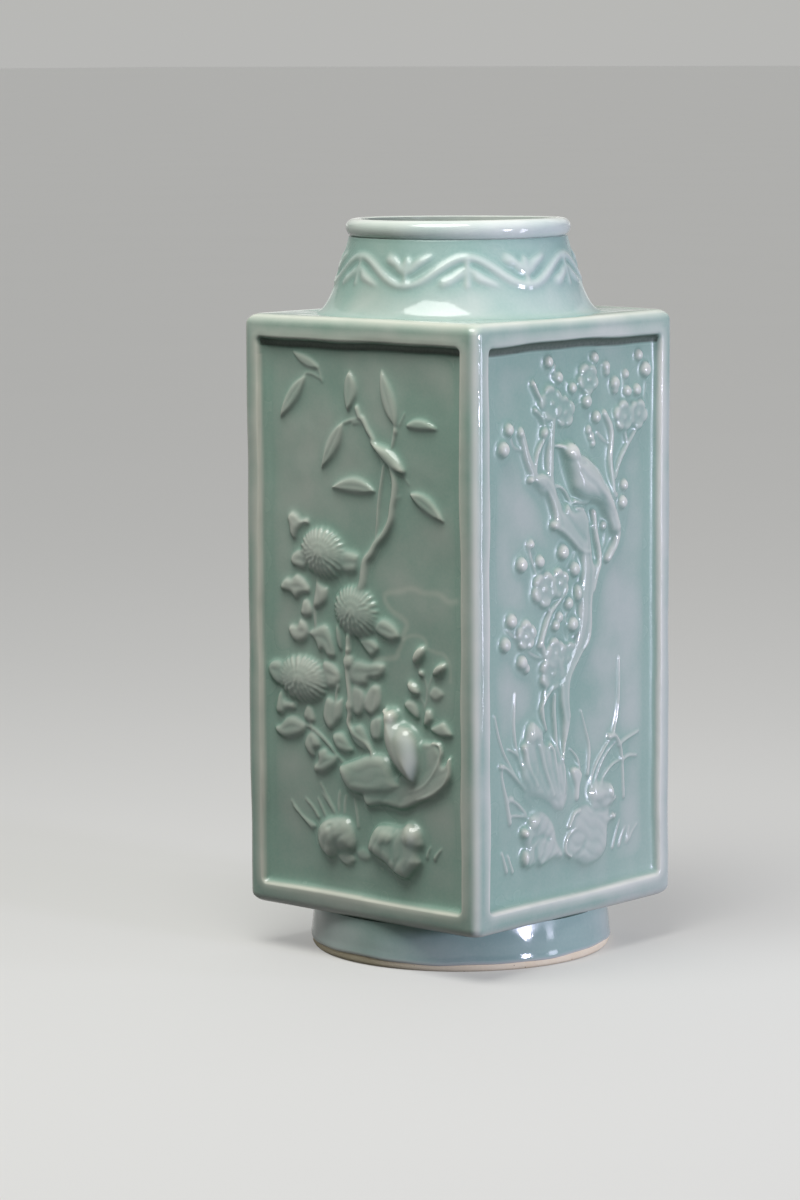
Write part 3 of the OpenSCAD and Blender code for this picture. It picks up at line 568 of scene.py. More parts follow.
def chrysanthemum_panel():
    """Bamboo over three chrysanthemums, with a bird on a rock."""
    clay = new_panel((0.86, 0.16))
    leaf_height = 1.9
    leaf_spread = 1.14

    # bamboo: leaves with a fold along the middle, twigs, a plump shoot and two stems
    clay.leaf((-22, 224.8), (-35.5, 230.3), 4.2, 1.0, bow=0.5)
    clay.ridge([(-22.3, 225), (-21, 222.5), (-20, 219.5)], 1.5, 0.6, tip=0.5)
    clay.ridge([(-29.8, 221), (-27.5, 222.6), (-24, 222), (-20.5, 220.5)], 1.6, 0.6, tip=0.6)
    clay.leaf((-29.3, 220.8), (-42.3, 205), 6.4, 1.4, bow=-0.4)
    clay.leaf((-7, 223.6), (-8, 209.3), 7.2, 1.5, bow=0.9)
    clay.leaf((16.3, 205.2), (9, 224.8), 7.2, 1.4, bow=0.3)
    clay.ridge([(16.4, 206), (16.3, 202.5), (14.6, 196.5)], 1.8, 1.0, tip=0.8)
    clay.lump((16.3, 203), (0.9, 1.6), 1.3)
    clay.leaf((21.5, 205.2), (36.2, 204.6), 4.2, 1.4, bow=1.0)
    clay.ridge([(18.6, 205.4), (19.8, 207.5), (21.2, 210)], 1.3, 0.6, tip=0.4)
    clay.leaf((-10.5, 204.3), (-21.8, 186.8), 6.8, 1.4, bow=0.2)
    clay.leaf((5.2, 179.9), (-16.8, 179.8), 7.0, 1.5, bow=-1.5)
    clay.leaf((23, 180), (39, 170.8), 6.6, 1.5, bow=0.9)
    clay.ridge([(-9, 204.8), (-4.5, 206.2), (0, 206.8)], 1.3, 0.8, tip=0.8)
    clay.ridge([(-4.8, 204.8), (-2, 205.2), (1, 204.8)], 1.2, 0.7, tip=0.8)
    clay.ridge([(-3, 210.5), (-1.5, 207.4), (0.2, 206.4), (2.5, 202.6), (5.3, 199), (6.5, 196)], 2.4, 1.3)
    clay.pillow([(3, 198.6), (8.4, 197.6), (13.6, 196), (18, 192.4), (20.8, 188.4), (19.4, 186.9),
                 (15, 187.8), (10.4, 190.8), (6, 195)], 2.7, 3.0)
    clay.ridge([(10.5, 190), (8.8, 182), (7.6, 175), (6.9, 168), (5.8, 159)], 2.1, 1.2, tip=0.9)
    clay.ridge([(14.2, 189), (15.5, 184), (15.2, 179), (14.3, 174.5), (13.4, 169.5), (10.3, 164.3),
                (6, 160.2), (3.6, 156.6), (0.8, 153.6), (-0.2, 149.5), (-0.8, 145), (-2.6, 140.5)],
               3.5, 2.0, tip=1.4)
    clay.ridge([(14.8, 174.6), (16.5, 176.5), (18.6, 179.2)], 1.5, 0.8, tip=0.4)
    clay.ridge([(19.7, 188), (21.5, 185.3), (23.2, 183.5)], 1.2, 0.4, tip=0.5)

    # chrysanthemum leaves, fat and rounded, with a vein pressed in each
    for outline, vein in (
            ([(-38.3, 167), (-36.5, 168.9), (-34, 168.4), (-32, 166.9), (-29.3, 167.2), (-28.3, 165.3),
              (-31, 164.4), (-33, 162.6), (-35, 159.6), (-37, 161.5), (-37.6, 164.4)],
             [(-36.5, 167), (-33, 165), (-30, 165.6)]),
            ([(-36.6, 151.5), (-35, 153.8), (-32, 155.2), (-28.5, 154), (-28, 150.5), (-30, 148.3),
              (-33, 148.4), (-35.7, 149.4)], [(-35, 151.5), (-30, 151.6)]),
            ([(-11, 156), (-6, 156.3), (-2.6, 155), (-3, 151), (-4.6, 148.8), (-9, 148.6), (-12, 151)],
             [(-10, 152), (-4, 152.4)]),
            ([(-41.5, 141), (-39, 143.5), (-36.5, 143.6), (-34, 145.4), (-31, 144.3), (-28.2, 141.5),
              (-28.5, 139.3), (-31.5, 138.5), (-34.5, 136.8), (-37, 138.7), (-40.7, 139.3)],
             [(-40, 141.2), (-35, 141), (-30, 141.2)]),
            ([(-23.8, 143.2), (-21.5, 142.5), (-18.3, 141.2), (-18.8, 137.5), (-21, 135.2), (-24.2, 134),
              (-25.2, 136), (-24.4, 139.5)], [(-23.4, 142), (-22.2, 136)]),
            ([(-30.6, 135.7), (-28.5, 136.3), (-26.3, 133.6), (-26.8, 130.8), (-29.5, 130), (-31.8, 131.3),
              (-31.3, 133.6)], [(-29, 135), (-29, 131.5)]),
            ([(-38, 124.5), (-36.5, 126), (-33.9, 126), (-32.5, 128.3), (-29.8, 127.5), (-28.4, 124.5),
              (-29.8, 121.3), (-33, 120), (-36.2, 121.2)], [(-36.5, 124), (-30.5, 124.2)]),
            ([(-27, 123.7), (-22.6, 126.2), (-19, 126.9), (-16.3, 124), (-14.8, 119.5), (-15.2, 116.3),
              (-18.5, 116), (-20.4, 118), (-22.6, 117.6), (-24.3, 121)],
             [(-24, 123), (-19, 122), (-16.5, 118)]),
            ([(-13.6, 128), (-11, 126.5), (-10.4, 122.5), (-11.4, 119), (-13.3, 121), (-14.2, 125)],
             [(-12.4, 126), (-12, 121)]),
            ([(7, 131), (11, 132.2), (15.6, 130), (17.4, 126.6), (14.2, 124.6), (9.6, 125.6),
              (6.4, 127.6)], [(8.5, 129), (14.8, 127.4)]),
            ([(-1.6, 123), (1.5, 124.6), (5.6, 123.8), (7.3, 121), (4, 117.7), (0.8, 119.8)],
             [(0, 122.4), (5, 120.6)]),
            ([(-20.5, 112.6), (-16.5, 113.4), (-12.8, 110.8), (-12.2, 107.4), (-14.4, 104.6),
              (-18.5, 105)], [(-18.5, 109.4), (-14, 108.6)]),
            ([(-48.4, 109.6), (-46, 111.4), (-42, 111.2), (-39, 108), (-41, 103.4), (-45, 103.5),
              (-48.2, 106.4)], [(-47, 108.4), (-42, 107.4)]),
            ([(-6.5, 113), (-3, 115.2), (2, 115), (6, 115.5), (9.4, 114.7), (8.8, 111.4), (6, 109.6),
              (3, 109.4), (1.6, 107.2), (-3, 106.6), (-6.5, 108.8)],
             [(-4.5, 111), (1, 111.4), (7.5, 112.8)]),
            ([(1.6, 103.6), (4.3, 106.7), (7.6, 106.2), (8.3, 102), (7.2, 98.3), (4.4, 96), (1.4, 97),
              (0.2, 100.4)], [(5.2, 104), (4, 98.5)]),
            ([(-4.8, 105.4), (-1, 104.6), (0.6, 101.4), (-0.6, 96.6), (-4, 95), (-6, 99.5)],
             [(-2.4, 103.4), (-2.6, 97.4)]),
            ([(-18.2, 99.8), (-14, 99), (-11.4, 99.8), (-11.4, 94), (-13.8, 90.8), (-17, 88.6),
              (-19.8, 91.8), (-20, 95.6)], [(-15.4, 97.6), (-16, 91.4)]),
            ([(-30.2, 93), (-28.5, 95.8), (-26.3, 94.7), (-25, 91.4), (-26.4, 89.9), (-29.7, 90.8)],
             [(-28.2, 94), (-27.4, 91.4)]),
            ([(-44.8, 86), (-43, 83.8), (-39, 82.7), (-34, 84), (-30.8, 86), (-30.2, 88.6), (-33, 90),
              (-36.5, 90.8), (-39.6, 89.8), (-42, 87.4)], [(-42.5, 85.4), (-37, 87), (-32.4, 87.4)]),
            ([(-44.8, 93.4), (-43.6, 98), (-42, 99.8), (-40.3, 97), (-36, 96.4), (-35.6, 94),
              (-39.2, 93.4), (-41, 91.8), (-43.6, 91.7)], [(-42.6, 97.4), (-41.6, 94)]),
            ([(-28.2, 84.6), (-25.5, 85.6), (-22.8, 83.6), (-22.2, 81), (-24.8, 79.3), (-25.4, 77.2),
              (-27.6, 77.8), (-29.8, 81)], [(-27, 83.4), (-26, 79.6)]),
            ([(-22.8, 78.6), (-19.5, 80), (-17.5, 78.5), (-13.8, 78.2), (-14.3, 75.4), (-17.4, 72.8),
              (-20, 71.5), (-24.2, 71.5), (-24.8, 73.5), (-22.8, 75.5)],
             [(-22.6, 73.6), (-19, 75.8), (-15.6, 76.8)]),
            ([(-15.4, 85.6), (-11, 87), (-7.6, 84.2), (-5.6, 81.4), (-9, 80), (-13.3, 81.2)],
             [(-13, 84), (-8, 82.4)]),
            ([(-7, 88.4), (-2, 91), (1.4, 88.2), (3.8, 83.4), (1, 82), (-4.2, 83.8)],
             [(-4.4, 87.4), (1, 84.8)]),
            ([(3.3, 92.6), (5.5, 94.6), (8.7, 94.8), (9.8, 91), (8.6, 87.2), (5, 86.5), (3.2, 89)],
             [(6.2, 93), (6.4, 88.6)])):
        outline = np.array(outline)
        middle = outline.mean(0)
        clay.pillow(middle + leaf_spread * (outline - middle), leaf_height, 2.8, blend=1.2)
        clay.groove(np.array(vein) + 0.8 * leaf_height * clay.lean, 1.5, 0.22)
    clay.ridge([(-24, 148), (-23.6, 143), (-24.6, 135), (-24.6, 128.5), (-23.6, 124)], 1.6, 1.0)
    clay.ridge([(-13, 105), (-14.2, 101.5), (-13.6, 98)], 1.5, 1.5)
    clay.ridge([(-29, 88.4), (-25, 87), (-18, 82.2), (-10.5, 76)], 1.5, 1.3)
    clay.ridge([(-28, 91), (-26.6, 88.6), (-26, 84.5)], 1.3, 1.2)
    clay.ridge([(-8, 124), (-8.2, 118), (-8.6, 112), (-7.9, 106), (-7.2, 100), (-7.4, 95), (-8, 91.5),
                (-6, 88.3), (-2.5, 86.2), (1.6, 84.2), (4.2, 80.5)], 3.4, 2.4, tip=0.6)
    clay.lump((-8.2, 114.6), (3.0, 3.6), 2.9, fullness=2.4)
    clay.lump((-8.1, 119.2), (1.5, 2.2), 2.9, fullness=2.4)
    clay.lump((-7.6, 98), (2.2, 3.0), 2.6, fullness=2.4)
    clay.chrysanthemum((-20.0, 154.9), (12.4, 9.9), 4.6, turn=-14)
    clay.chrysanthemum((-3.4, 134.0), (11.9, 10.3), 4.6, turn=-18)
    clay.chrysanthemum((-30.4, 106.2), (13.6, 9.2), 4.6, turn=-3)

    # bud spray
    clay.lump((26.6, 120.3), (4.4, 2.5), 2.6, turn=52, fullness=2.4)
    clay.lump((36.7, 115.7), (4.1, 2.1), 2.4, turn=35, fullness=2.4)
    clay.lump((28.2, 113.7), (1.9, 1.5), 1.6, turn=-30)
    clay.lump((24.1, 107.6), (3.8, 2.2), 2.4, turn=-35, fullness=2.4)
    clay.pillow([(32.4, 106.4), (34.6, 109.4), (37.5, 109), (39.8, 107), (37.6, 104.4), (34.6, 104)],
                1.0, 2.0)
    clay.pillow([(19.8, 101.6), (22, 103.3), (25.6, 102.8), (27.8, 99.5), (27.2, 96.2), (24, 97.2),
                 (20.8, 99.6)], 1.7, 2.2)
    clay.pillow([(29.8, 98), (31, 100.6), (33.6, 100.2), (34.6, 97), (32, 94.2), (29.5, 94.3)], 1.9, 2.2)
    clay.pillow([(32.6, 93.4), (37, 96), (40, 96.6), (44, 92.4), (41.5, 90.7), (36.6, 90.7)], 1.8, 2.4)
    clay.ridge([(27, 117), (29.6, 113), (31, 109.5), (31.4, 105), (30.2, 100)], 1.1, 0.6)
    clay.ridge([(34, 113.6), (32.6, 110), (31.4, 106)], 1.0, 0.5)
    clay.ridge([(26.8, 105.4), (29.5, 103), (30.6, 100.5)], 1.0, 0.5)

    # grass
    for blade in ([(-13.8, 55.5), (-17.5, 60), (-22.5, 66.8)], [(-15, 56), (-18.5, 60), (-21.5, 63)],
                  [(-19.3, 53.5), (-21.5, 57), (-24, 60.8)], [(-23.5, 53.5), (-26.5, 57), (-30.5, 60)],
                  [(-25.5, 49.8), (-31.5, 52.5), (-37, 56.3)], [(-27, 49), (-33, 53.5), (-38, 58.5)],
                  [(-12.6, 55.5), (-13, 60), (-12.4, 65)], [(-9.8, 55), (-10, 59), (-9.2, 63.8)],
                  [(-3.2, 52), (-3.8, 57.5), (-5, 63.8)], [(31, 44.6), (31.5, 46.6), (32.8, 49)],
                  [(34.8, 44.6), (36, 46.4), (38, 48.6)]):
        clay.ridge(blade, 1.8, 0.85, tip=0.3, blend=0.3)

    # perch rock and its curling ledge
    clay.pillow([(2, 60.6), (10, 62), (20, 61.4), (28, 64.8), (34, 67), (39, 70.3), (43.3, 75), (43.4, 80),
                 (41.6, 83), (39.6, 80.5), (38.6, 85.5), (36, 88.8), (33.4, 88.8), (28, 88), (22, 82),
                 (18, 75), (16, 70.5), (10, 68), (0, 66)], 2.3, 2.0, beds=(38, 5.0, 0.2))
    clay.pillow([(-12.8, 74), (-10, 75.7), (-4, 78.2), (3, 80.8), (10, 81), (14, 78), (16.5, 73.5),
                 (20, 70.5), (16, 67.2), (10, 65.6), (3, 64.8), (-3, 64.8), (-7.5, 65.8), (-10.8, 69)],
                3.4, 4.0, beds=(8, 4.4, 0.14))
    clay.ridge([(34, 88.4), (37, 87.8), (38.3, 85), (37.5, 81.5), (35.5, 78), (33, 74.5), (29, 71),
                (23, 68.6)], 1.4, 2.6, tip=0.8, blend=1.0)
    clay.ridge([(41.7, 83), (42.4, 78.5), (41, 74.5), (38, 71.6), (33.5, 68.6), (27, 66)],
               1.4, 2.5, tip=0.8, blend=1.0)
    clay.groove([(4, 59.6), (11, 60.6), (19, 60.4), (26, 62.4)], 2.2, 0.4)

    # ground rocks
    clay.pillow([(-24.9, 46.8), (-23.6, 50.8), (-20, 53.4), (-15, 54.8), (-9, 54.7), (-5.4, 50.8),
                 (-4.6, 46), (-6.4, 42.6), (-12, 41.8), (-17, 38.2), (-21.4, 39.6), (-24.2, 43)],
                4.0, 5.6, beds=(52, 4.0, 0.34))
    clay.lump((-17.2, 48.4), (6.4, 5.2), 4.4, turn=20, lobes=3, cut=0.05, blend=2.6)
    clay.groove([(-13.4, 52), (-12.6, 47), (-11.6, 42)], 2.2, 0.3)
    clay.groove([(-15.4, 51.4), (-14.4, 51.8)], 1.1, 0.8)
    clay.pillow([(-14.4, 41), (-10, 43), (-5.8, 41.8), (-4.6, 39), (-8, 36.6), (-12.2, 37.8)],
                1.4, 1.6, beds=(10, 3.0, 0.3))
    clay.pillow([(-4, 43.4), (0, 44.6), (3.6, 42.6), (3, 40.2), (-0.6, 39.6), (-3.6, 40.8)], 0.8, 1.6)
    clay.pillow([(1.3, 44.4), (2.8, 50), (6, 53.8), (12, 55.1), (18, 54.8), (22, 56.9), (27.2, 54.8),
                 (28.8, 49.4), (27, 46), (27.8, 42), (24.2, 37.8), (20.5, 34.9), (15, 36.2), (10, 39.8),
                 (5, 41.8)], 4.3, 5.4, beds=(66, 4.2, 0.34))
    clay.lump((11.4, 50), (6.0, 3.4), 4.1, turn=10, lobes=3, cut=0.06, blend=2.6)
    clay.lump((22.4, 51.6), (4.2, 4.4), 4.5, turn=10, lobes=4, cut=0.05, blend=2.6)
    clay.ridge([(27, 50), (25.4, 46.4), (27, 42), (21, 36)], 1.3, 2.6, tip=0.9, blend=1.0)
    clay.groove([(6.8, 53), (7.6, 48), (6, 44)], 1.8, 0.2)
    clay.groove([(17.2, 54.6), (17.6, 50.6), (16.8, 46), (18.6, 40)], 2.2, 0.3)

    # bird, modelled nearly in the round
    clay.pillow([(13.2, 96.4), (18.4, 96.8), (20.6, 94.8), (25.6, 93.2), (29, 89.4), (30.6, 84),
                 (30.4, 78), (28.2, 72.6), (24.8, 72.8), (19.4, 76.4), (15.2, 81), (12.8, 86), (12.2, 91)],
                7.4, 7.6, lean=0.0, blend=0.8)
    clay.lump((12.4, 95.2), (3.5, 3.6), 6.0, turn=20, fullness=2.4, blend=1.4)
    clay.ridge([(11.2, 97), (9, 98.2)], 2.4, 4.8, tip=0.4, blend=0.9)
    clay.groove([(20.4, 91.4), (20.8, 86), (23.4, 80), (26.4, 75)], 1.8, 0.22)

    # runs of glaze that met between the flowers and the buds
    clay.seam([(46, 142), (42, 141.6), (37, 144), (30, 143.8), (24, 145), (18, 143.4), (12, 142.4),
               (10.8, 140.4), (12, 138), (15, 135.6), (19.4, 133.6), (21.6, 131.4), (20.4, 128), (19, 124),
               (17.4, 121), (15.6, 118.4), (6, 117)], 2.4, 0.3)
    clay.seam([(20, 125.6), (23, 127.2), (27, 127.6), (30.6, 126.4), (32, 123.4), (36, 122.2), (40, 121.6),
               (42.8, 118), (43, 112)], 1.7, 0.22)
    return clay


def prunus_panel():
    """An old prunus in flower with a bird on it, over rocks and orchid leaves."""
    clay = new_panel((-1.16, 0.19))
    branch_height = 1.7

    # trunk, forked and hollowed by age, with its branches
    clay.pillow([(-22.8, 184.8), (-19, 181.6), (-15.5, 179.8), (-12.6, 175.8), (-10.8, 171),
                 (-10.4, 166.4), (-8, 164.6), (-5, 162.4), (-2, 160.2), (1, 158.2), (4.4, 155.8),
                 (5.4, 151), (5, 145), (4, 139), (3.6, 132), (3, 126), (0.5, 120), (-3, 114), (-6.5, 108),
                 (-6.6, 102), (-5.6, 94), (-5.2, 87), (-4.2, 79), (-2.3, 84), (-0.2, 89), (0.4, 93.5),
                 (-0.6, 100), (-0.2, 106.6), (2.2, 110.4), (5.2, 114), (7.7, 117), (10.8, 119.6),
                 (12.5, 126), (12.3, 134), (13, 139.5), (15.2, 144), (18, 148.4), (16.6, 152),
                 (13.4, 150.4), (12.2, 155), (11.4, 161), (10.4, 167), (7, 172), (1, 171.6), (-2, 174.6),
                 (-5.4, 172), (-7.6, 176.6), (-9.2, 181.5), (-13.6, 186), (-18.5, 187)], 2.3, 2.4)
    clay.ridge([(17, 150), (14.4, 145), (12.2, 139.5), (11.4, 134), (11.6, 126), (9.8, 120.6), (6.8, 118),
                (4.2, 115), (1.2, 111.4), (-1.2, 107), (-1.6, 100), (-0.6, 93.5)],
               2.0, 2.6, tip=1.1, blend=0.7)
    clay.ridge([(-28.6, 203), (-27, 198.8), (-25.4, 194.2), (-23, 189.6), (-20, 185), (-15.5, 181)],
               4.0, branch_height, tip=1.3)
    clay.lump((-28.4, 202.2), (2.0, 1.8), 2.1, turn=-40)
    clay.lump((-22.6, 184.6), (1.9, 1.6), 2.3)
    clay.ridge([(-11.5, 203.5), (-15, 200), (-17.8, 196.3), (-19.8, 192.5), (-20.6, 187)],
               2.5, branch_height, tip=1.1)
    clay.lump((-14.8, 201.6), (2.0, 2.6), 2.5, turn=-20)
    clay.ridge([(-10.6, 206), (-11.4, 199), (-11.8, 191), (-11.4, 184), (-9.8, 178), (-6, 170.5)],
               4.8, 2.0, tip=1.25)
    clay.groove([(-11.8, 186), (-10.6, 180), (-7, 172.6), (-1, 166.6), (6, 160)], 1.5, 0.35)
    clay.groove([(-16, 182.6), (-12, 178), (-9, 172), (-7.6, 167)], 1.5, 0.3)
    clay.groove([(8.4, 166), (8.2, 157), (9.2, 148), (8.2, 138), (7.6, 128), (4.4, 119)], 1.5, 0.4)
    clay.groove([(12.6, 148), (10.4, 141), (9.6, 133), (9.8, 125)], 1.3, 0.3)
    clay.ridge([(-9, 166), (-4, 163.6), (1, 159.8), (6, 156), (11, 155)], 2.2, 2.5, tip=0.8, blend=0.8)
    clay.lump((-8.8, 166.6), (2.4, 2.2), 2.7, turn=-20)
    clay.ridge([(13.4, 169.5), (14.2, 163.5), (15.4, 159), (16.7, 155), (17, 151), (15.4, 146.5),
                (13.2, 140)], 3.2, 2.4, tip=0.8)
    clay.ridge([(11.8, 164.6), (13.2, 162.8), (14.6, 160.6)], 2.2, 1.9)
    clay.ridge([(20.4, 162), (19.8, 157.5), (17.4, 154.4)], 1.4, 0.9)
    clay.ridge([(-10, 106), (-13, 103.6), (-16.2, 99.8)], 3.4, 2.0, tip=0.7)
    clay.ridge([(-13.6, 108), (-15.4, 104), (-16, 100)], 2.0, 1.8, tip=0.8)
    clay.ridge([(-16.4, 98.4), (-15.8, 94.6), (-14, 90)], 3.0, 1.9, tip=0.7)
    clay.ridge([(-9.4, 103), (-9.4, 97), (-8.6, 90), (-8, 84), (-6.6, 79)], 3.4, 1.9, tip=0.8)
    clay.ridge([(-5.2, 106), (-4.4, 99), (-3, 93), (-2, 89), (-3.4, 83), (-4.2, 78)], 3.8, 2.4, tip=0.6)
    clay.ridge([(20, 206.6), (22.8, 202.6), (24.2, 199), (24.1, 194.5), (23.6, 189.5), (24.2, 185),
                (25.2, 180), (25.6, 176)], 3.0, branch_height, tip=1.1)
    clay.ridge([(39.4, 200), (36.2, 196.3), (32.2, 192), (28.6, 187), (26.4, 182)], 2.6, 1.5, tip=1.2)
    clay.ridge([(32, 199.6), (32.8, 196.6), (33.4, 193.6)], 2.2, 1.3)
    clay.ridge([(24.2, 204), (24, 201), (24.2, 198)], 1.3, 0.9)
    clay.ridge([(15.3, 199.8), (19, 196.7), (23.4, 194.4)], 1.4, 0.9)
    clay.ridge([(-21.2, 220.2), (-18.8, 216.2), (-16, 212.6)], 3.0, 1.9, tip=0.9)
    clay.ridge([(-20.4, 210.4), (-17.4, 208), (-14.6, 203.6)], 2.4, 1.5)
    clay.ridge([(-8.8, 226.4), (-9.4, 223), (-9.6, 219)], 1.9, 1.2)
    clay.ridge([(-10.4, 222.6), (-9.6, 220.6)], 1.7, 1.1)
    clay.ridge([(-35, 201.6), (-33.4, 198), (-31, 196.8), (-27, 196)], 1.3, 0.9)
    for stem in ([(31, 221), (31.2, 215), (31.6, 209)], [(45, 219.4), (44.4, 215), (43.4, 209)],
                 [(42.6, 228.4), (43, 225), (44.6, 221.6)], [(14.6, 222), (17, 224.4), (20.4, 226)],
                 [(6.6, 211.8), (3, 210.6), (0, 209.4)], [(34.8, 212), (34, 208.6)],
                 [(40, 212), (40, 209)], [(11, 213.4), (11.2, 216)], [(1, 217.6), (-2, 219.6)]):
        clay.ridge(stem, 1.2, 0.8)
    for stem in ([(-25, 161), (-22.6, 154.6), (-20.2, 149)], [(-17.2, 152), (-19.2, 148.8)],
                 [(2.4, 155.4), (-0.4, 151), (-4, 147)],
                 [(-3.6, 135), (-3.6, 131), (-2.4, 126), (-1.4, 120.6)], [(-1.2, 134.6), (-3.6, 132)],
                 [(-26, 121.4), (-21, 118.7), (-15.8, 117.4)], [(-37, 130), (-34.6, 128.2), (-31, 125.4)]):
        clay.ridge(stem, 1.7, 1.0)
    clay.ridge([(-3.4, 141), (-9, 136.7), (-12, 134.3), (-14.6, 130), (-16.6, 125.6), (-18, 122.4)],
               2.5, 1.8, tip=1.4)
    clay.ridge([(-14.8, 139.6), (-13, 135)], 1.9, 1.4)
    clay.ridge([(-17.4, 123.6), (-15.8, 119.6), (-13.8, 114.6)], 3.2, 1.7)

    # orchid leaves and grass
    for blade in ([(25.2, 82.4), (26.6, 85.4), (28.6, 92), (29.5, 100), (30, 113)],
                  [(10, 61), (14, 71), (20, 78), (25.6, 82.6)],
                  [(12.4, 62), (16.4, 70.2), (21.4, 76.2), (28, 80.6)],
                  [(17, 65), (19.4, 67.6), (25, 71.6), (31, 73.2)],
                  [(10.6, 70), (11.6, 80), (9.6, 87), (6.8, 95)], [(29, 79), (35, 81), (41.4, 82.6)],
                  [(31.4, 73), (35.6, 74), (40.4, 73.4)],
                  [(-29.4, 78), (-32, 87), (-33, 96), (-32.1, 106)],
                  [(-24, 67), (-31, 73.6), (-35, 79), (-38.6, 84.2), (-41.6, 91), (-44, 99)],
                  [(-35.2, 57.6), (-37.4, 66.6), (-39.5, 74), (-40.2, 80)],
                  [(-26.4, 60), (-31.6, 64.6), (-36.6, 66.4)], [(-25, 58.4), (-30, 59.6), (-35, 60.4)],
                  [(-31, 82.4), (-33, 84), (-36, 85.6)], [(-37, 39.5), (-38.2, 43), (-39.6, 47)],
                  [(-33.6, 39), (-34.8, 42), (-36.2, 45.6)], [(5.6, 73), (4.4, 77), (0.6, 81)]):
        clay.ridge(blade, 2.3, 1.1, tip=0.35, blend=0.35)
    for blade in ([(25.4, 39.4), (27.4, 44), (29.8, 49.4)], [(29.6, 39.8), (31, 43), (33.4, 46.6)],
                  [(34.3, 40.6), (34.8, 43), (35.8, 46.4)], [(35.6, 41.4), (37.4, 44), (40.6, 46.8)]):
        clay.ridge(blade, 1.9, 0.6, tip=0.35, blend=0.35)
    clay.ridge([(23.8, 82.8), (27.6, 82.4), (30.5, 78), (31.8, 70), (32.8, 58)],
               2.7, 1.4, tip=0.35, blend=0.4)
    clay.ridge([(-40.4, 79.6), (-37.6, 78.6), (-33.6, 75.4), (-27, 69)], 2.4, 1.3, tip=0.7, blend=0.4)
    clay.lump((-35, 66.6), (2.2, 1.6), 1.0, turn=-10)

    # rocks on low ground
    clay.pillow([(-27, 75), (-14, 72), (-3, 73), (5, 65), (11, 59), (20, 50), (20, 38), (8, 36),
                 (-6, 38.6), (-20, 39.5), (-27, 44), (-26, 52), (-24, 60), (-29, 67)], 1.3, 5.0, blend=1.5)
    clay.pillow([(-28.4, 85), (-26.8, 88.6), (-25, 92), (-22.8, 94.4), (-19.6, 93.2), (-15.8, 90.2),
                 (-15.2, 86), (-12, 84.6), (-8.6, 83.4), (-7.6, 78.6), (-4.4, 78), (-2.4, 72), (-2.4, 64),
                 (-5, 58.4), (-10, 58.8), (-13, 61.2), (-18, 64), (-22, 65.4), (-26, 69.2), (-29.4, 74.4)],
                2.3, 3.6, blend=1.6, beds=(108, 4.6, 0.35))
    clay.lump((-21.2, 89.4), (4.8, 4.4), 2.9, turn=-20, lobes=3, cut=0.07, blend=1.2)
    clay.ridge([(-26.8, 85), (-24.8, 78), (-20, 70)], 3.6, 2.6, tip=0.7, blend=1.0)
    clay.ridge([(-18.4, 84.6), (-15.4, 76), (-10.6, 65)], 4.2, 2.7, tip=0.7, blend=1.0)
    clay.ridge([(-11.4, 84), (-9.4, 80), (-8.6, 74), (-6.4, 65)], 3.0, 2.8, tip=0.6, blend=0.8)
    clay.ridge([(-4.6, 78), (-3.4, 73), (-3.8, 65)], 2.6, 2.5, tip=0.6, blend=0.8)
    clay.groove([(-22.4, 84.4), (-20.2, 77), (-15.8, 68.6)], 1.6, 0.45)
    clay.groove([(-13.6, 82), (-12, 75), (-8.8, 66)], 1.5, 0.45)
    clay.groove([(-6.4, 77), (-6, 71), (-4.8, 65)], 1.4, 0.4)
    clay.pillow([(-28.8, 51.6), (-26.4, 54.9), (-23.8, 59.2), (-18, 60.4), (-13, 57.4), (-9.8, 53),
                 (-8, 47), (-4.6, 42), (-6, 39.8), (-11, 40.2), (-17.6, 38.2), (-21, 39.4), (-25.2, 38.6),
                 (-28.2, 41.8), (-27.4, 47)], 2.3, 3.4, blend=1.4, beds=(58, 4.2, 0.5))
    clay.lump((-26, 52.4), (2.2, 2.4), 3.2, turn=20, fullness=2.2, blend=0.8)
    clay.lump((-20.6, 56), (4.0, 3.4), 3.0, turn=10, lobes=3, cut=0.08, blend=1.2)
    clay.lump((-25.8, 43), (2.2, 3.8), 3.0, fullness=2.2, blend=0.8)
    clay.groove([(-24.4, 49.6), (-19.6, 50.6), (-15, 49)], 1.7, 0.5)
    clay.groove([(-22.8, 46), (-22.2, 42), (-20.6, 39)], 1.6, 0.5)
    clay.pillow([(10.4, 63.6), (15, 66.9), (22, 65.9), (25.6, 64), (26.4, 60.6), (28.4, 58.8), (24.6, 55),
                 (24, 53), (28.2, 52.6), (27.4, 50), (23.4, 49), (22.8, 44.6), (21.6, 39.6), (16, 35.6),
                 (8, 34.7), (3, 37.6), (-0.6, 38.8), (-3.8, 41), (-4, 45.4), (-2.2, 50.6), (1.6, 57.2),
                 (5.6, 58.6), (9.6, 60)], 2.4, 5.4, blend=1.6, beds=(-38, 4.6, 0.32))
    clay.ridge([(0.2, 39.8), (-2.6, 41.6), (-2.9, 45), (-1, 48.6), (3.2, 50.4)],
               2.0, 2.7, tip=0.8, blend=0.7)
    clay.ridge([(-1, 51.4), (2.2, 56), (5.4, 57)], 2.6, 2.6, tip=0.8, blend=0.8)
    clay.lump((17, 61.4), (5.6, 4.2), 2.8, lobes=3, cut=0.08, blend=1.4)
    clay.lump((24.6, 61.2), (2.2, 3.4), 2.9, turn=10, fullness=2.2, blend=0.8)
    clay.lump((25.9, 52), (1.8, 1.6), 2.6, fullness=2.2, blend=0.6)
    clay.groove([(9.4, 59), (12, 56.2), (18, 55.6), (22, 56)], 1.8, 0.5)
    clay.groove([(1.6, 40.4), (4.6, 42.4), (6.2, 45)], 1.8, 0.45)
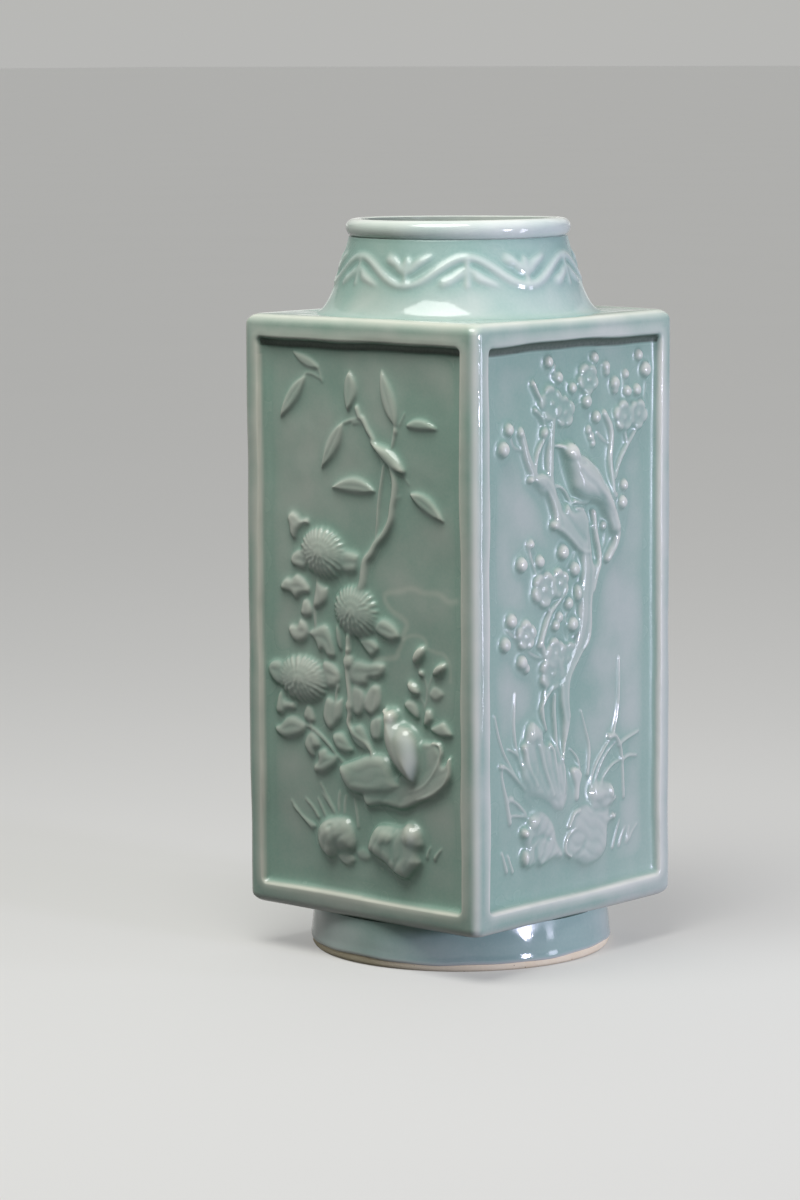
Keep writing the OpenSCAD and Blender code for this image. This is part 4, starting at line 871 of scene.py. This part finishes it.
    clay.pillow([(-0.2, 73.2), (3, 74.2), (7, 71.2), (5.6, 66.6), (4.6, 61), (1.8, 61), (1.6, 66.4),
                 (0.2, 70)], 2.3, 1.5)

    # blossoms and buds
    for u, z, radius, turn in ((-11, 212.4, 7.4, 100), (-3.6, 208.4, 6.4, 20), (10.8, 219.8, 6.4, 50),
                               (31.6, 204.4, 6.0, 90), (40, 205, 6.0, 60), (-15.6, 143.4, 7.0, 60),
                               (-6.6, 144.8, 5.8, 30), (-26, 126.6, 5.8, 90), (-10.4, 111, 7.4, 140),
                               (-8.8, 118.6, 6.2, 100), (-1.8, 115.8, 7.0, 60)):
        clay.blossom((u, z), radius, 2.0, turn=turn)
    for u, z, wide, tall in ((11, 200.8, 1.7, 2.0), (12.4, 198.2, 2.0, 2.0), (13.4, 195.6, 1.7, 1.9)):
        clay.lump((u, z), (wide, tall), 1.5)
    for u, z, radius in ((-11.6, 227.5, 2.7), (-6, 221.4, 2.7), (2, 217, 2.5), (15, 227.5, 2.5),
                         (21.8, 224, 2.2), (21.8, 222, 1.9), (27, 217.4, 2.7), (26.6, 215, 2.0),
                         (10.2, 211.6, 2.8), (41.3, 227.1, 2.3), (45.6, 221.4, 3.1), (33.2, 220.4, 1.9),
                         (34.3, 213.8, 2.3), (40, 214, 2.5), (15.7, 205.3, 2.4), (-35, 204, 2.6),
                         (-38, 196.9, 3.1), (32.5, 178.3, 2.3), (31.7, 171.8, 2.7), (26.8, 175, 1.7),
                         (19.5, 164, 2.0), (-22.4, 160.6, 1.8), (-27.4, 153.4, 3.0), (-17.4, 153.6, 2.6),
                         (-3.8, 156, 3.0), (2.7, 149, 2.9), (-1, 136.4, 2.5), (-6.6, 131.8, 2.3),
                         (-8.6, 128.8, 2.3), (1.8, 128.2, 3.0), (-33.6, 133, 2.8), (-37.2, 124.6, 2.9),
                         (-27.6, 117, 2.8), (-25.6, 114.6, 2.2)):
        clay.lump((u, z), (radius, 1.04 * radius), 0.8 * radius + 0.3, fullness=2.8, blend=0.35)
    clay.lump((4.4, 139.8), (1.9, 3.6), 2.6, fullness=2.4)

    # bird, modelled nearly in the round
    clay.pillow([(-7.9, 196), (-4.4, 196.2), (-1.5, 196.9), (1, 196.2), (3.6, 193.4), (7.5, 191.4),
                 (11.5, 188.7), (14.6, 186.2), (17.6, 182.2), (20.4, 178), (23.4, 171), (21, 169),
                 (16, 172.3), (11, 173.6), (4, 174.8), (-1, 179), (-2.8, 184), (-4, 187), (-5, 189.6),
                 (-5.8, 192.4)], 4.8, 6.8, lean=0.0, blend=1.4)
    clay.lump((1.6, 193), (4.6, 3.8), 4.4, turn=-30, fullness=2.4, blend=1.6)
    clay.ridge([(-3, 195.4), (-8.4, 196.4)], 2.2, 2.8, tip=0.4)
    clay.ridge([(20, 176), (24.4, 169), (27.2, 163)], 8.6, 3.4, tip=0.7, blend=2.0)
    clay.ridge([(23.6, 171), (26.6, 165), (28, 160.6), (26.6, 156.4), (22.4, 151.4)],
               5.6, 2.5, tip=0.7, blend=1.2)
    clay.groove([(21.6, 168), (23.6, 162), (22.6, 156)], 0.9, 0.4)
    clay.groove([(1.6, 186.6), (4.6, 183.4), (9.4, 180.4), (15.6, 174.6)], 1.8, 0.3)
    clay.groove([(-0.6, 191.4), (1.6, 189.4), (4.6, 189.2)], 1.0, 0.3)
    clay.ridge([(2, 174.6), (5.6, 174), (9.4, 173.6)], 2.4, 2.5, tip=0.9, blend=0.6)
    clay.ridge([(3, 172), (7, 171.4)], 2.2, 2.4, tip=0.9, blend=0.6)
    clay.ridge([(-8.4, 181.4), (-5.2, 180.4), (-2.8, 178.6), (-0.6, 175.4), (1.4, 171)],
               1.5, 2.0, tip=0.9, blend=0.4)
    return clay


def hollows(heights, spread):
    """How far each place lies below the soft level round it, and 0 where it stands above."""
    return np.maximum(blurred(heights, spread) - heights, 0)


def crests(heights, spread):
    """How far each place stands above the soft level round it, and 0 where it lies below."""
    return np.maximum(heights - blurred(heights, spread), 0)


def coated(heights, soft, level, share):
    """Clay under glaze: softened, and filled by a share up to a still softer level."""
    coat = blurred(heights, soft)
    return coat + share * np.maximum(blurred(heights, level) - coat, 0)


def glaze_over(clay, sag, gap, fill):
    """The glazed face of a wall: its height, where the glaze pools and thins, and where shade and light are
    painted on it. The border's edge sags a little, gap is how much deeper the panel sinks under its top
    edge and how dark the painted shadow there is, and fill is how much of the glaze lies in the creases."""
    u, z = np.meshgrid(clay.across, clay.up)
    flank = panel_half + panel_border - np.abs(u)
    flank = flank + 0.22 * np.sin(z / 17 + sag) + 0.12 * np.sin(z / 6.1 + 2 * sag)
    above_foot = z - panel_foot + panel_border + 0.25 * np.sin(u / 13 + sag)
    below_head = panel_head + panel_border - z + 0.3 * np.sin(u / 15 + 2 * sag) + 0.14 * np.sin(u / 5.3)
    ends = np.minimum(above_foot, below_head)
    rounded = panel_corner_r - np.hypot(np.maximum(panel_corner_r - flank, 0),
                                        np.maximum(panel_corner_r - ends, 0))
    inside = np.minimum(np.minimum(flank, ends), rounded)
    t = np.clip(0.5 + inside / np.where(below_head < flank, head_slope, border_slope), 0, 1)
    sunk = t * t * t * (t * (6 * t - 15) + 10)
    crown = np.sin(math.pi * np.clip(-inside / (frame_side - edge_r - panel_border), 0, 1))
    # A narrow band under the panel's top edge, sunk a little deeper and darkened there as a painted shadow
    head_gap = 1 / (1 + np.exp(np.minimum((below_head - head_gap_reach) / 0.22, 50)))
    floor_wave = 0.12 * np.sin(u / 11 + 1 + sag) * np.sin(z / 19) + 0.07 * np.sin(u / 5 + z / 7)
    raw = sunk * (clay.height + floor_wave - panel_depth - (0.2 + 0.33 * gap) * head_gap) + 0.25 * crown
    surface = coated(raw, soft=0.42, level=1.5, share=0.6)
    # Slopes facing down, where shade falls: painted darker like pooled glaze and kept from whitening, as
    # painted shade
    under = blurred(np.clip(np.gradient(surface, raster, axis=0), 0, 1.2), 0.5)
    creases = 0.3 * hollows(surface, 2.0) + 0.3 * hollows(surface, 6.0) + 0.7 * hollows(surface, 0.9)
    foot_run = 0.3 * np.exp(-np.maximum(above_foot, 0) / 5)
    # Glaze pooled in the creases and at the panel's foot, plus painted shade on slopes facing down and a
    # painted shadow under the top edge
    pool = fill * (creases + 0.3 * under) + sunk * (gap * head_gap + foot_run)
    pool = np.minimum(pool, 0.4 + 0.6 * np.clip((inside - 2) / 1.5, 0, 1) + head_gap)
    # A pale line of thin glaze along the border's inner edge, with painted light on it: strongest on the
    # left half, weaker on the right half and faint under the top edge
    rim = np.exp(-((inside + 0.5) / 0.6) ** 2) * np.where(below_head < 6, 0.2, np.where(u > 0, 0.45, 0.8))
    bare = 1.15 * crests(surface, 0.7) + 0.34 * crests(surface, 3.0)
    # Thin glaze on crests and the milky seams, plus the painted light on the border's rim and painted shade
    # on slopes facing down
    thin = bare - 0.6 * under + rim + 0.12 * crown + clay.milk
    return surface, pool, thin


def sampled(clay, field, u, z):
    """Values of a field on the sheet at the given places."""
    x = np.clip((u - clay.across[0]) / raster, 0, len(clay.across) - 1.001)
    y = np.clip((z - clay.up[0]) / raster, 0, len(clay.up) - 1.001)
    i = x.astype(int)
    j = y.astype(int)
    x = x - i
    y = y - j
    low = field[j, i] * (1 - x) + field[j, i + 1] * x
    high = field[j + 1, i] * (1 - x) + field[j + 1, i + 1] * x
    return low * (1 - y) + high * y


def uneven(points):
    """Small unevenness of a hand-built body, in millimetres."""
    x, y, z = np.moveaxis(points, -1, 0)
    return (0.16 * np.sin(x / 21 + z / 33) + 0.14 * np.sin(y / 19 - z / 27 + 1)
            + 0.1 * np.sin(z / 11 + x / 37 - y / 29) + 0.05 * np.sin(z / 5.5 + 2))


def surface_normals(points):
    """Unit normals of a grid of points, outwards for rows going up and columns going right."""
    along = np.gradient(points, axis=1)
    up = np.gradient(points, axis=0)
    normals = np.cross(along, up)
    return normals / np.linalg.norm(normals, axis=-1, keepdims=True)


def keep_in_mitres(normals, spin):
    """Turns the normals at both ends of a wall into its mitre planes, so that it joins the next wall."""
    for col, sign in ((0, -1), (-1, 1)):
        mitre = spin @ np.array([sign, 1, 0]) / math.sqrt(2)
        normals[:, col] -= (normals[:, col] @ mitre)[:, None] * mitre


# Columns run from mitre to mitre and rows from the inner bottom edge up the face to the inner top edge.
# They stand closer together on the rounded edges, on the sloping border and over the relief.
fine_step = 0.53
arc_steps = 7
border_in = 0.6
border_out = 2.4
border_steps = 8
side_margin = 1.2
end_margin = 1.5
inner_row = 6.5
flat_half = half_w - edge_r
border = np.linspace(panel_half - border_in, panel_half + border_out, border_steps)
panel_cols = np.linspace(-border[0], border[0], int(2 * border[0] / fine_step))[1:-1]
flat = np.concatenate([[-flat_half, -border[-1] - side_margin], -border[::-1], panel_cols, border,
                       [border[-1] + side_margin, flat_half]])
arc = np.linspace(0, math.pi / 4, arc_steps + 1)[1:]
col_u = np.concatenate([np.full(arc_steps, -flat_half), flat, np.full(arc_steps, flat_half)])
col_bend = np.concatenate([-arc[::-1], np.zeros(len(flat)), arc])

edge_turn = np.linspace(0, math.pi / 2, arc_steps + 1)
foot_border = np.linspace(panel_foot - border_out, panel_foot + border_in, border_steps)
head_border = np.linspace(panel_head - border_in, panel_head + border_out, border_steps)
panel_count = int((head_border[0] - foot_border[-1]) / fine_step)
panel_rows = np.linspace(foot_border[-1], head_border[0], panel_count)[1:-1]
face_z = np.concatenate([[foot_border[0] - end_margin], foot_border, panel_rows, head_border,
                         [head_border[-1] + end_margin]])
row_inset = np.concatenate([[wall_t, inner_row], edge_r * (1 - np.sin(edge_turn)), np.zeros(len(face_z)),
                            edge_r * (1 - np.cos(edge_turn)), [inner_row, wall_t]])
row_z = np.concatenate([[wall_foot, wall_foot], wall_foot + edge_r * (1 - np.cos(edge_turn)), face_z,
                        wall_top - edge_r * (1 - np.sin(edge_turn)), [wall_top, wall_top]])
wall_rows = len(row_z)
wall_cols = len(col_u)
inset = row_inset[:, None]
corner_r = edge_r * np.clip((wall_t - inset) / (wall_t - edge_r), 0.02, 1)
straight = half_w - inset - corner_r
plan_u = col_u / flat_half * straight + corner_r * np.sin(col_bend)
plan_y = -straight - corner_r * np.cos(col_bend)
plan_z = np.repeat(row_z[:, None], wall_cols, axis=1)
on_face = (inset == 0) & (col_bend == 0)
on_top = plan_z > wall_top - 1
round_edge = np.where(inset > 0, np.sin(math.pi * np.clip(inset / edge_r, 0, 1)), 0)
worn_edge = np.maximum(np.abs(np.sin(2 * col_bend)) ** 3, round_edge)
wall_faces = grid_faces(wall_rows, wall_cols, wrap_rows=True, wrap_cols=False)
left_cap = np.arange(wall_rows) * wall_cols
right_cap = left_cap[::-1] + wall_cols - 1

# Its nearly black deep colour paints the shadow under the panels' top edges as well as the deepest pools
wall_glaze = glazed("wall_celadon", body="#adbab0", pooled="#82a697", deep="#2c4338", thinned="#dadccf")


def new_wall(name, clay, quarter, nodes):
    """A glazed wall for one side of the body, counted in quarter turns from the front."""
    # Front and back panels get a dark painted shadow under their top edge, the side panels a faint one, and
    # the side panels hold more glaze in their creases
    gap, fill = (0.1, 2.2) if quarter % 2 else (0.9, 1.2)
    surface, pool, thin = glaze_over(clay, quarter, gap, fill)
    height = np.where(on_face, sampled(clay, surface, plan_u, plan_z), 0)
    points = np.stack([plan_u, plan_y - height, plan_z], axis=-1)
    spin = np.array(Matrix.Rotation(quarter * math.pi / 2, 3, "Z"))
    points = points @ spin.T
    normals = surface_normals(points)
    keep_in_mitres(normals, spin)
    outside = np.where((row_inset < wall_t)[:, None, None], 1.0, 0.0)
    points = points + outside * uneven(points)[..., None] * normals
    normals = surface_normals(points)
    keep_in_mitres(normals, spin)
    normals /= np.linalg.norm(normals, axis=-1, keepdims=True)
    piece = new_piece(name, points.reshape(-1, 3), wall_faces, (left_cap, right_cap))

    # the inside and the mitres are shaded flat, the rest smooth
    skin = len(wall_faces) - (wall_cols - 1)
    flat_normals = np.zeros((len(piece.data.polygons), 3), np.float32)
    piece.data.polygons.foreach_get("normal", flat_normals.ravel())
    counts = np.array([face.loop_total for face in piece.data.polygons[skin:]])
    smooth_normals = normals.reshape(-1, 3)[wall_faces[:skin]].reshape(-1, 3)
    inner_normals = np.repeat(flat_normals[skin:], counts, axis=0)
    piece.data.normals_split_custom_set(np.concatenate([smooth_normals, inner_normals]))

    reach = np.hypot(points[..., 0], points[..., 1])
    seat = np.where(on_top & (inset > 2), np.exp(-((reach - neck_seat_r) / 2.2) ** 2), 0)
    face_pool = np.where(on_face, sampled(clay, pool, plan_u, plan_z), 0)
    face_thin = np.where(on_face, sampled(clay, thin, plan_u, plan_z), 0.1 * on_top)
    mark_glaze(piece, face_pool + 0.4 * seat, face_thin + 0.7 * worn_edge - 0.3 * seat)
    piece.data.materials.append(wall_glaze)
    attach(piece, "root")
    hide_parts(*nodes)


flower_side = chrysanthemum_panel()
prunus_side = prunus_panel()
for quarter, side in enumerate(("front", "right", "back", "left")):
    side_nodes = [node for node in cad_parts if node.startswith(side + "_")]
    new_wall(side + "_glazed_wall", prunus_side if quarter % 2 else flower_side, quarter, side_nodes)

# Shoulder slab
# A square slab with a round hole closes the body between the tops of the walls and carries the neck. The
# glaze covers its seams, and pools where the neck stands on it.

pale_glaze = glazed("pale_celadon", body="#b4c2ba", pooled="#8bada3", deep="#5f8077", thinned="#eceee8")
slab_low, slab_high = node_box("shoulder_slab")
slab_foot = slab_low[2]
slab_top = slab_high[2]
hole_r = 42.0
slab_turn = full_turn(192)
square_r = slab_high[0] / np.maximum(np.abs(np.cos(slab_turn)), np.abs(np.sin(slab_turn)))
slab_rings = np.array([
    ring_points(slab_turn, hole_r + share * (square_r - hole_r), slab_z)
    for share, slab_z in ((1.0, slab_foot), (1.0, slab_top), (0.66, slab_top), (0.33, slab_top),
                          (0.0, slab_top), (0.0, slab_foot))])
shoulder = turned_piece("glazed_shoulder", slab_rings)
slab_reach = np.hypot(slab_rings[..., 0], slab_rings[..., 1])
mark_glaze(shoulder, 0.4 * np.exp(-((slab_reach - neck_seat_r) / 3) ** 2), np.zeros(slab_reach.shape))
shoulder.data.materials.append(pale_glaze)
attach(shoulder, "root")
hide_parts("shoulder_slab")

# Neck
# A thrown neck, drawn in towards the lip and luted on the shoulder, with a scroll in relief: a wave of vine
# with an upright leaf in each trough and a stem with two drooping leaves under each crest.

neck_low, neck_high = node_box("neck")
neck_foot = neck_low[2]
neck_top = neck_high[2]
neck_base_r = neck_high[0]
neck_taper = 7.9
neck_flare = 3.2
neck_t = 4.5
neck_fillet = 1.6
vine_waves = 6
vine_swing = 5.2
vine_mid = neck_foot + 17.2
vine_low = vine_mid - vine_swing
vine_high = vine_mid + vine_swing
front_corner = -math.pi / 4


def neck_radius(height):
    """Radius of the outside of the neck at a height above the table."""
    rest = 1 - (height - neck_foot) / (neck_top - neck_foot)
    return neck_base_r - neck_taper * (1 - rest) - neck_flare * (1 - rest ** 4)


# One wave of the scroll, drawn flat with its neighbours on both sides
wave = 2 * math.pi * neck_radius(vine_mid) / vine_waves
scroll = Clay((-wave / 2, neck_foot), (1.5 * wave, neck_top), (0.0, 0.0))
vine = [(u, vine_mid + vine_swing * math.cos(2 * math.pi * u / wave))
        for u in np.linspace(-wave, 2 * wave, 37)]
scroll.ridge(vine, 2.7, 0.95, blend=0.6)
for crest in (-wave, 0.0, wave):
    trough = crest + wave / 2
    scroll.ridge([(crest, vine_high), (crest, vine_mid), (crest, vine_low + 0.2)], 2.0, 0.85,
                 tip=0.9, blend=0.4)
    scroll.ridge([(trough + 0.6, vine_low), (trough, vine_mid - 2), (trough, vine_mid + 0.6)], 2.0, 0.85,
                 blend=0.4)
    scroll.lump((trough, vine_mid + 2.6), (1.7, 3.0), 0.9, fullness=2.4)
    for hand in (-1, 1):
        scroll.lump((crest + hand * 5.9, vine_mid - 2.9), (6.2, 1.7), 0.95, turn=-hand * 24, fullness=2.2,
                    lobes=3, cut=0.14, blend=0.7)
        scroll.lump((crest + hand * 3.0, vine_mid - 0.6), (3.4, 1.3), 0.85, turn=-hand * 34, fullness=2.2,
                    blend=0.7)
        scroll.lump((trough + hand * 5.3, vine_mid + 3.4), (5.6, 1.9), 0.95, turn=hand * 26, fullness=2.2,
                    lobes=3, cut=0.14, blend=0.7)
        scroll.lump((trough + hand * 2.2, vine_mid + 0.8), (3.0, 1.6), 0.9, turn=hand * 34, fullness=2.2,
                    blend=0.7)
scroll_relief = coated(scroll.height, soft=0.7, level=1.3, share=0.4)
scroll_pool = 1.6 * hollows(scroll_relief, 2.4)
scroll_thin = 0.75 * crests(scroll_relief, 2.6)

neck_turn = full_turn(600)
neck_u = ((neck_turn - front_corner) * vine_waves / (2 * math.pi)) % 1.0 * wave
neck_rings = []
neck_pools = []
neck_thins = []


def neck_ring_at(radius, height, pool=0.0, thin=0.0):
    """Adds a ring of points to the neck, with its glaze."""
    neck_rings.append(ring_points(neck_turn, radius, height))
    neck_pools.append(pool + 0 * neck_turn)
    neck_thins.append(thin + 0 * neck_turn)


neck_ring_at(neck_radius(neck_foot) + neck_fillet + 0.5, neck_foot - 0.8, pool=0.4)
for neck_z in np.linspace(neck_foot, neck_top - 0.4, 66):
    meniscus = neck_fillet * math.exp(-(neck_z - neck_foot) / 0.9)
    relief, pooled, thinned = (sampled(scroll, field, neck_u, neck_z + 0 * neck_turn)
                               for field in (scroll_relief, scroll_pool, scroll_thin))
    # Painted shade under the lip: the neck's upper band is darkened like pooled glaze, besides a little
    # glaze pooled under the roll
    under_lip = 0.5 * math.exp((neck_z - neck_top) / 9)
    neck_ring_at(neck_radius(neck_z) + meniscus + relief, neck_z,
                 pooled + 0.35 * meniscus / neck_fillet + under_lip, thinned)
neck_ring_at(neck_radius(neck_top) - 0.4, neck_top)
for neck_z in np.linspace(neck_top, neck_foot, 14):
    neck_ring_at(neck_radius(neck_z) - neck_t, neck_z, pool=0.1)
neck = turned_piece("glazed_neck", np.array(neck_rings), sharp=75)
mark_glaze(neck, np.array(neck_pools), np.array(neck_thins))
neck.data.materials.append(pale_glaze)
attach(neck, "root")
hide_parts("neck", "neck_vine", "neck_palmettes")

# Lip
# The rim of the neck is rolled outwards into a soft round lip, a little uneven by hand. The glaze is thin
# and almost white on its crest.

lip_low, lip_high = node_box("mouth_rim")
lip_seat = lip_low[2]
lip_r = 3.8
lip_mid_r = lip_high[0] - lip_r
lip_mid_z = lip_high[2] - lip_r
lip_bore = neck_radius(neck_top) - neck_t
seat_turn = math.asin((lip_seat - lip_mid_z) / lip_r)
bore_turn = math.pi - math.acos((lip_mid_r - lip_bore) / lip_r)
lip_turn = full_turn(256)
lip_sag = 0.14 * np.sin(2 * lip_turn + 1) - 0.6 * (1 - np.cos(lip_turn - front_corner))
lip_rings = []
lip_thins = []
for roll_turn in np.linspace(seat_turn, bore_turn, 26):
    upper = max(0.0, math.sin(roll_turn))
    ring_z = lip_mid_z + lip_r * math.sin(roll_turn) + lip_sag * upper
    lip_rings.append(ring_points(lip_turn, lip_mid_r + lip_r * math.cos(roll_turn), ring_z))
    lip_thins.append(0.3 + 0.4 * upper ** 2 + 0 * lip_turn)
lip_rings.append(ring_points(lip_turn, lip_bore, lip_seat))
lip_thins.append(0 * lip_turn)
lip = turned_piece("rolled_lip", np.array(lip_rings))
mark_glaze(lip, np.zeros((len(lip_rings), len(lip_turn))), np.array(lip_thins))
lip.data.materials.append(pale_glaze)
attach(lip, "root")
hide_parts("mouth_rim")

# Studio
# A pale matt floor, a cool key light and a strip light to the right, a soft box and a dome overhead and a
# weak light behind. The camera stands where the photograph was taken from, in millimetres and degrees.

scene = bpy.context.scene
scene.view_settings.view_transform = "Standard"
floor_reach = 60.0
floor_corners = [(-floor_reach, -floor_reach, 0), (floor_reach, -floor_reach, 0),
                 (floor_reach, floor_reach, 0), (-floor_reach, floor_reach, 0)]
floor_mesh = bpy.data.meshes.new("studio_floor")
floor_mesh.from_pydata(floor_corners, [], [(0, 1, 2, 3)])
floor = bpy.data.objects.new("studio_floor", floor_mesh)
scene.collection.objects.link(floor)
floor_paint = bpy.data.materials.new("matt_floor")
floor_paint.use_nodes = True
floor_nodes = floor_paint.node_tree
floor_shader = floor_nodes.nodes["Principled BSDF"]
floor_spot = place_node(floor_nodes, "TexCoord").outputs["Object"]
floor_cloud = noise(floor_nodes, floor_spot, scale=3.0)
floor_nodes.links.new(blend_colours(floor_nodes, floor_cloud, colour("#aaaaa8"), colour("#aeaeac")),
                      floor_shader.inputs["Base Color"])
floor_shader.inputs["Roughness"].default_value = 0.9
floor_shader.inputs["Emission Color"].default_value = (1.0, 1.0, 0.98, 1.0)
floor_shader.inputs["Emission Strength"].default_value = 0.28
floor_mesh.materials.append(floor_paint)
floor.visible_diffuse = False

# The air is dark but for a pale band at the horizon, which the glaze mirrors
world = bpy.data.worlds.new("studio_air")
world.use_nodes = True
air = world.node_tree
skyward = place_node(air, "TexCoord").outputs["Generated"]
sky_rise = place_node(air, "SeparateXYZ", {0: skyward}).outputs["Z"]
sky_share = place_node(air, "MapRange", {"Value": sky_rise, "From Min": -0.2, "From Max": 0.8}).outputs[0]
sky = place_node(air, "ValToRGB", {0: sky_share})
bands = sky.color_ramp.elements
bands[0].position = 0.1
bands[0].color = (0.03, 0.03, 0.03, 1.0)
bands[1].position = 0.19
bands[1].color = (0.48, 0.48, 0.47, 1.0)
for band_at, grey in ((0.23, 0.48), (0.28, 0.08)):
    bands.new(band_at).color = (grey, grey, 0.96 * grey, 1.0)
air.links.new(sky.outputs["Color"], air.nodes["Background"].inputs["Color"])
scene.world = world


def soft_light(name, place, aim, width, height, power, tint):
    """An oval soft light aimed at a point, in metres and watts, out of the camera's sight."""
    lamp = bpy.data.lights.new(name, "AREA")
    lamp.shape = "ELLIPSE"
    lamp.size = width
    lamp.size_y = height
    lamp.energy = power
    lamp.color = tint
    light = bpy.data.objects.new(name, lamp)
    light.location = place
    light.rotation_euler = (Vector(aim) - Vector(place)).to_track_quat("-Z", "Y").to_euler()
    light.visible_camera = False
    scene.collection.objects.link(light)


soft_light("key_light", (2.0, 0.05, 0.24), aim=(0.0, 0.0, 0.16),
           width=0.26, height=0.28, power=24.0, tint=(0.82, 0.8, 1.06))
soft_light("strip_light", (0.56, 0.22, 0.17), aim=(0.0, 0.0, 0.15),
           width=0.1, height=0.36, power=0.8, tint=(0.84, 0.83, 1.04))
soft_light("overhead_box", (0.06, -0.36, 0.95), aim=(0.0, 0.0, 0.16),
           width=0.6, height=0.6, power=7.0, tint=(1.0, 1.0, 0.97))
for sun_name, energy, spread, tilt, heading in (("dome_light", 0.53, 110, 12, 0),
                                                ("back_light", 0.38, 70, -60, 40)):
    sun = bpy.data.lights.new(sun_name, "SUN")
    sun.energy = energy
    sun.angle = math.radians(spread)
    sun.color = (1.0, 1.0, 0.98)
    sun_object = bpy.data.objects.new(sun_name, sun)
    sun_object.rotation_euler = (math.radians(tilt), 0.0, math.radians(heading))
    scene.collection.objects.link(sun_object)

view_turn = math.radians(40.775)
view_pan = math.radians(0.832)
view_tilt = math.radians(7.596)
view_roll = math.radians(-0.326)
eye_reach = 1573.5
eye_height = 343.0
eye = Vector((math.sin(view_turn) * eye_reach, -math.cos(view_turn) * eye_reach, eye_height)) * millimetre
facing = view_turn + view_pan
ahead = Vector((-math.sin(facing) * math.cos(view_tilt), math.cos(facing) * math.cos(view_tilt),
                -math.sin(view_tilt)))
level = Vector((math.cos(facing), math.sin(facing), 0.0))
upright = level.cross(ahead)
camera_right = level * math.cos(view_roll) + upright * math.sin(view_roll)
camera_up = upright * math.cos(view_roll) - level * math.sin(view_roll)
lens = bpy.data.cameras.new("camera")
lens.sensor_width = 36.0
lens.lens = 123.97
camera = bpy.data.objects.new("camera", lens)
camera.matrix_world = Matrix((
    (camera_right[0], camera_up[0], -ahead[0], eye[0]),
    (camera_right[1], camera_up[1], -ahead[1], eye[1]),
    (camera_right[2], camera_up[2], -ahead[2], eye[2]),
    (0.0, 0.0, 0.0, 1.0)))
scene.collection.objects.link(camera)
scene.camera = camera
